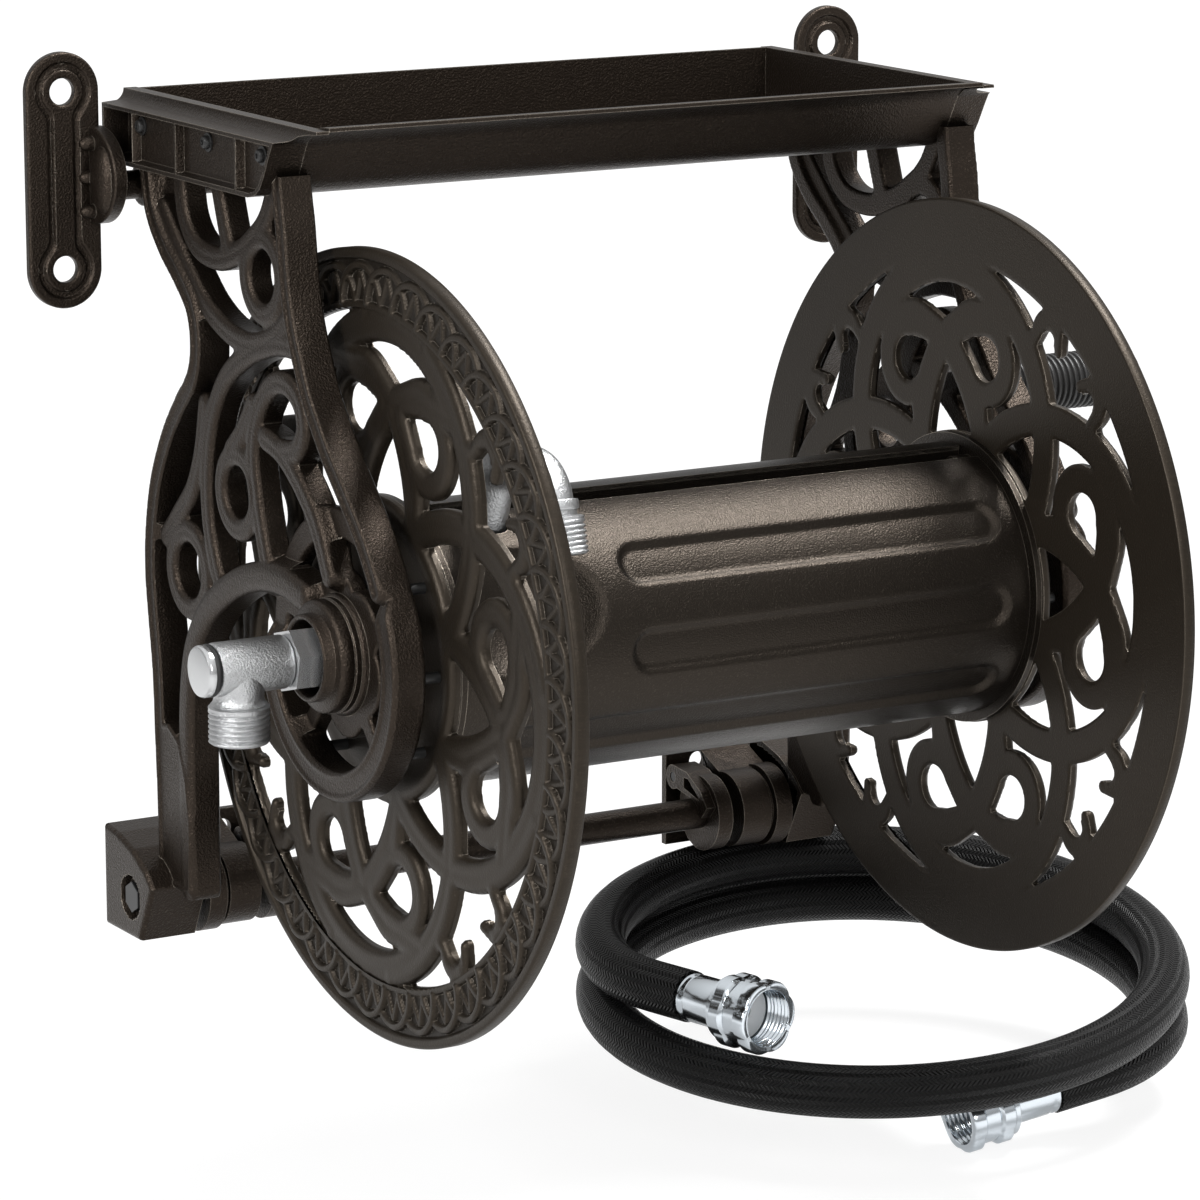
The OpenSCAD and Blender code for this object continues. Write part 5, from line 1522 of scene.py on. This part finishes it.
@dataclass
class Inlet:
    """Swivelling inlet elbow on the left, with its threaded branch hanging down."""

    x: float = -218.5
    open_end: float = -233.5
    hex_end: float = -196.5
    cap_wall: float = 2.6

    def build(self) -> None:
        """Builds the barrel with its branch, the O-ring and the end cap."""
        body = Surface("inlet_elbow_casting")
        start = self.open_end + self.cap_wall
        l = self.hex_end - 0.3 - start
        lathe(body, [(8.1, 0), (10.6, 0), (11.3, 0.5), (11.6, 1.4), (11.6, l - 1.6), (11.2, l - 0.5),
                     (10.6, l), (8.1, l)], (start, 0, 0), (1, 0, 0), 64, closed=True)
        branch = [(6.0, 2.0), (11.3, 2.0), (11.3, 8.0), (10.9, 10.5), (10.7, 13.0), (11.2, 14.8),
                  (12.2, 15.8)]
        lathe(body, branch + THREAD.profile(16.0, 33.0) + [(6.0, 33.0)], (self.x, 0, 0), (0, 0, -1), 64,
              closed=True, shape=THREAD.cut(17.5, 32.0))
        body.piece(CAST_ZINC, "inlet", nodes=["inlet_elbow"])
        ring = Surface("inlet_o_ring")
        t = np.linspace(0, 2 * math.pi, 16, endpoint=False)
        lathe(ring, np.stack([9.95 + 1.5 * np.cos(t), 1.5 * np.sin(t)], -1), (self.open_end + 1, 0, 0),
              (1, 0, 0), 56, closed=True)
        ring.piece(BLACK_RUBBER, "stand", nodes=["inlet_o_rings"])
        cap = Surface("inlet_end_cap")
        lathe(cap, [(0, 0), (9.6, 0), (10.6, 0.35), (11.1, 1.1), (11.2, 1.8), (11.2, 3.5), (0, 3.5)],
              (self.open_end - 4, 0, 0), (1, 0, 0), 64)
        cap.piece(BRIGHT_ZINC, "stand", nodes=["inlet_cap"])


@dataclass
class Tray:
    """Tray pan of bent sheet, with its cove front."""

    back: float = 199.0
    front: float = 53.0
    floor: float = 190.0
    half_length: float = 166.0
    thickness: float = 1.8

    def build(self) -> None:
        """Builds the pan: the flat back and floor, and a smooth cove up to the lip."""
        b, f, z = self.back, self.front, self.floor
        cove = smooth_line([(f + 12, z), (f + 4, z), (f - 3, z + 1.5), (f - 8, z + 5), (f - 12, z + 11),
                            (f - 17, z + 20), (f - 20, z + 25), (f - 25, z + 29), (f - 33, z + 31),
                            (f - 40, z + 31.5)], 5)
        corner = smooth_line([(b, z + 8), (b, z + 5), (b - 1.5, z + 1.5), (b - 5, z), (b - 8, z)], 4)
        line = np.vstack([[(b, z + 32)], corner, cove])
        made = Surface("tray_sheet")
        extruded(made, line, self.thickness, -self.half_length, self.half_length)
        made.piece(BRONZE, "stand", sharp=40, nodes=["tray_pan"])


@dataclass
class TrayEnd:
    """End cap of the tray: an open ribbed face outside, and a rail on top with a cove down to its land."""

    side: Side
    node: str
    inner: float = 166.0
    panel: float = 178.6
    pocket: float = 171.0
    outer: float = 182.9
    land: float = 216.0
    top: float = 222.0
    cove_r: float = 6.0
    ribs: Sequence[float] = (172.0, 128.0, 69.0)
    outline: Sequence[Sequence[float]] = (
        (202, 190), (57, 190), (50, 191.5), (45, 195), (41, 201), (36, 210), (33, 215), (28, 218.5),
        (20, 220), (13, 220.5), (13, 222), (202, 222))

    def area(self, p: Plane) -> Floats:
        """Outline of the cap: the tray's own line, closed along the rail."""
        return polygon_area(p, self.outline)

    def front(self, p: Plane) -> Floats:
        """Outer face: a sunk panel between the rim, the ribs and the rail, and the cove over the land."""
        rim = np.clip((2.4 + self.area(p)) / 0.8 + 0.5, 0, 1)
        rib = np.maximum.reduce([np.clip((1.1 - np.abs(p[0] - y)) / 0.5 + 0.5, 0, 1) for y in self.ribs])
        rail = np.clip((p[1] - self.land + 2.6) / 0.5, 0, 1)
        ground = np.where(p[0] > self.ribs[0], self.pocket, self.panel)
        x = ground + (self.outer - ground) * np.maximum.reduce([rim, 0.93 * rib, rail])
        drop = np.clip(self.top - p[1], 0, self.cove_r)
        cove = self.inner + 2 * self.cove_r - np.sqrt(self.cove_r**2 - drop**2)
        return -np.where(p[1] > self.land + 0.1, cove, x)

    def build(self) -> None:
        """Builds the cap as one casting."""
        made = Surface(self.node + "_casting")
        pierced(made, self.area, (12, 189), (203, 223), 0.6, self.front,
                lambda p: np.full(p[0].shape, -self.inner), seen_from_side(self.side), self.side is Side.LEFT)
        made.piece(BRONZE, "stand", sharp=40, nodes=[self.node])


@dataclass
class TrayScrews:
    """Pan head screws in the bays of both end caps, close under the rail."""

    panel: float = 178.6
    z: float = 208.5
    at: Sequence[float] = (168.4, 102.3, 49.8)

    def build(self) -> None:
        """Builds all six heads, each on its washer."""
        made = Surface("tray_screws_pan_heads")
        head = [(0, 0), (4.2, 0), (4.2, 0.7), (3.1, 0.8), (3.0, 2.2), (2.4, 3.0), (1.2, 3.2), (1.0, 2.4),
                (0, 2.4)]
        for side in Side:
            for y in self.at:
                lathe(made, head, (-self.panel * side.value, y, self.z), (-side.value, 0, 0), 24)
        made.piece(BLACK_STEEL, "stand", nodes=["tray_screws"])


@dataclass
class Knuckle:
    """Cast knuckle on a wall plate: a long dome takes the upper rod's end, and teeth reach over the plate."""

    side: Side
    node: str
    outer: float = 190.95
    thick: float = 6.0
    plate: float = 199.0
    centre_z: float = 184.0
    depth: float = 27.0
    half_height: float = 22.0
    dome_height: float = 4.2
    rod: tuple[float, float] = (187.0, 180.0)
    rod_end: float = 188.4
    teeth: Sequence[float] = (168.0, 183.3, 198.6)

    def area(self, p: Plane) -> Floats:
        """Its outline: half of an ellipse that stands against the wall plate."""
        out = np.hypot((p[0] - self.plate) / self.depth, (p[1] - self.centre_z) / self.half_height)
        return (out - 1) * self.half_height

    def front(self, p: Plane) -> Floats:
        """Outer face: a flat flange with a long dome on it."""
        out = np.hypot((p[0] - 185.5) / 9.5, (p[1] - 183) / 15)
        dome = self.dome_height * np.sqrt(np.clip(1 - out**2, 0, 1))
        return -(self.outer + dome + crown(np.maximum(-self.area(p), 0), 1.2, 0.8))

    def back(self, p: Plane) -> Floats:
        """Inner face, with the rod's blind bore."""
        return -np.where(away(p, self.rod) < 6.6, self.rod_end, self.outer - self.thick)

    def build(self) -> None:
        """Builds the knuckle and its three teeth."""
        made = Surface(self.node + "_casting")
        s = self.side.value
        pierced(made, lambda p: both(self.area(p), p[0] - self.plate), (170, 160), (200, 208), 0.5,
                self.front, self.back, seen_from_side(self.side), self.side is Side.LEFT)
        for z in self.teeth:
            lathe(made, [(0, 0), (1.5, 0.6), (2.6, 2.2), (3.2, 4.4), (3.2, 8.5), (0, 8.5)],
                  (-(self.outer + 6.5) * s, 195.7, z), (s, 0, 0), 20)
        made.piece(BRONZE, "stand", sharp=45, nodes=[self.node])


@dataclass
class WallPlate:
    """Upper wall plate: a pressed stadium with two bolt holes and a groove round both."""

    side: Side
    node: str
    x: float = -203.2
    z: float = 182.0
    pitch: float = 80.0
    width: float = 35.5
    hole_d: float = 12.0

    face: float = 199.0
    wall: float = 203.0
    groove_depth: float = 1.6
    # Half widths of the groove's outer and inner line: along the bar, and round a hole
    groove: Sequence[Sequence[float]] = ((7.9, 13.6), (4.6, 9.6))

    def area(self, p: Plane) -> Floats:
        """The stadium, less its holes."""
        u, v = p[0] - self.x, np.abs(p[1] - self.z) - self.pitch / 2
        return less(np.hypot(u, np.maximum(v, 0)) - self.width / 2, np.hypot(u, v) - self.hole_d / 2)

    def front(self, p: Plane) -> Floats:
        """Front face: rounded at its edge, with a groove round both holes and along the bar between them."""
        u, v = np.abs(p[0] - self.x), np.abs(p[1] - self.z) - self.pitch / 2
        outside, inside = (cast_together(3, both(u - w, v), np.hypot(u, v) - r) for w, r in self.groove)
        depth = np.clip(np.minimum(-outside, inside) / 0.9, 0, 1)
        return self.face - crown(np.maximum(-self.area(p), 0), 1.4, 1.0) + self.groove_depth * depth

    def build(self) -> None:
        """Builds the plate."""
        made = Surface(self.node + "_pressing")
        s = self.side.value
        pierced(made, self.area, (self.x - 19, self.z - 59), (self.x + 19, self.z + 59), 0.45, self.front,
                lambda p: np.full(p[0].shape, self.wall), lambda x, z, y: np.stack([x * s, y, z], -1),
                flip=s < 0)
        made.piece(BRONZE, "stand", sharp=50, nodes=[self.node])


@dataclass
class Grip:
    """Turning grip of the crank, with rings along its length."""

    x: float = 203.5
    length: float = 78.0
    radius: float = 13.5
    pin_r: float = 4.05
    crank: tuple[float, float] = (59.157, 73.052)
    ring_pitch: float = 3.1
    ring_depth: float = 1.1

    def build(self) -> None:
        """Builds the grip: its radius falls between rings as the square of half a cosine wave."""
        l, r = self.length, self.radius
        s = np.arange(4.0, l - 6, self.ring_pitch / 10)
        wave = 0.5 - 0.5 * np.cos(2 * math.pi * (s - 4.0) / self.ring_pitch)
        profile = [(self.pin_r, 0), (r - 3, 0), (r - 1.6, 0.5), (r - 1, 2),
                   *zip(r - self.ring_depth * wave**2, s), (r - 1, l - 3), (r - 1.5, l - 1), (r - 3, l),
                   (8.0, l), (8.0, l - 9), (self.pin_r, l - 9)]
        made = Surface("crank_grip_ribbed")
        lathe(made, profile, (self.x, *self.crank), (1, 0, 0), 48, closed=True)
        made.piece(BLACK_PLASTIC, "grip", nodes=["crank_grip"])


class Broken(Enum):
    """CAD nodes that only have their edges broken: node, finish, body, slot and the edge's width in mm."""

    UPPER_ROD = ("upper_rod", BRONZE, "stand", "bronze_coat", 0.4)
    LOWER_ROD = ("lower_rod", BRONZE, "stand", "bronze_coat", 0.4)
    ROD_END_BOLTS = ("rod_end_bolts", BLACK_STEEL, "stand", "black_steel", 0.4)
    BRACKET_LEFT = ("lower_bracket_left", BRONZE, "stand", "bronze_coat", 0.6)
    BRACKET_RIGHT = ("lower_bracket_right", BRONZE, "stand", "bronze_coat", 0.6)
    HOOK_LEFT = ("bracket_hook_left", BRONZE, "stand", "bronze_coat", 0.6)
    HOOK_RIGHT = ("bracket_hook_right", BRONZE, "stand", "bronze_coat", 0.6)
    HOOK_PINS = ("hook_pins", BLACK_STEEL, "stand", "black_steel", 0.3)
    BUSHING_LEFT = ("bushing_left", BLACK_PLASTIC, "stand", "black_plastic", 0.4)
    BUSHING_RIGHT = ("bushing_right", BLACK_PLASTIC, "stand", "black_plastic", 0.4)
    HUB_LEFT = ("drum_hub_left", DRUM_BRONZE, "reel", "bronze_coat", 0.5)
    HUB_RIGHT = ("drum_hub_right", DRUM_BRONZE, "reel", "bronze_coat", 0.5)
    DISC_SCREWS = ("disc_screws", BLACK_STEEL, "reel", "black_steel", 0.3)
    WATER_TUBE = ("water_tube", BRIGHT_ZINC, "reel", "cast_zinc", 0.6)
    CRANK_SHAFT = ("crank_shaft", BRIGHT_ZINC, "reel", "zinc_steel", 0.4)
    CRANK_ARM = ("crank_arm", BRONZE, "reel", "bronze_coat", 0.8)
    CRANK_BOLT = ("crank_bolt", BLACK_STEEL, "reel", "zinc_steel", 0.5)
    GRIP_PIN = ("grip_pin", BRIGHT_ZINC, "reel", "zinc_steel", 0.3)
    GRIP_CAP = ("grip_cap", BLACK_PLASTIC, "grip", "black_plastic", 0.3)


def main() -> None:
    """Builds the scene in order."""
    logging.basicConfig(level=logging.INFO, format="%(message)s")
    Studio().build()
    LeaderHose().build()
    sides = ((Side.LEFT, "left"), (Side.RIGHT, "right"))
    for side, name in sides:
        ScrollDisc(f"disc_{name}", side is Side.RIGHT).build(DISC_BRONZE)
    for side, name in sides:
        SideFrame(side, f"side_frame_{name}").build()
    for part in (Drum, Outlet, Inlet, Tray):
        part().build()
    for side, name in sides:
        TrayEnd(side, f"tray_end_{name}").build()
    TrayScrews().build()
    for side, name in sides:
        Knuckle(side, f"rod_knuckle_{name}").build()
    for side, name in sides:
        WallPlate(side, f"wall_plate_{name}").build()
    Grip().build()
    for entry in Broken:
        softened(*entry.value)
    boxes = {"cad": [list(c) for c in cad_box], "visual": [list(c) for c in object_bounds()]}
    low = [round(1000 * (v - c), 1) for c, v in zip(boxes["cad"][0], boxes["visual"][0])]
    high = [round(1000 * (v - c), 1) for c, v in zip(boxes["cad"][1], boxes["visual"][1])]
    LOG.info("visual box less CAD box, in mm: low %s, high %s", low, high)


if __name__ == "__main__":
    main()
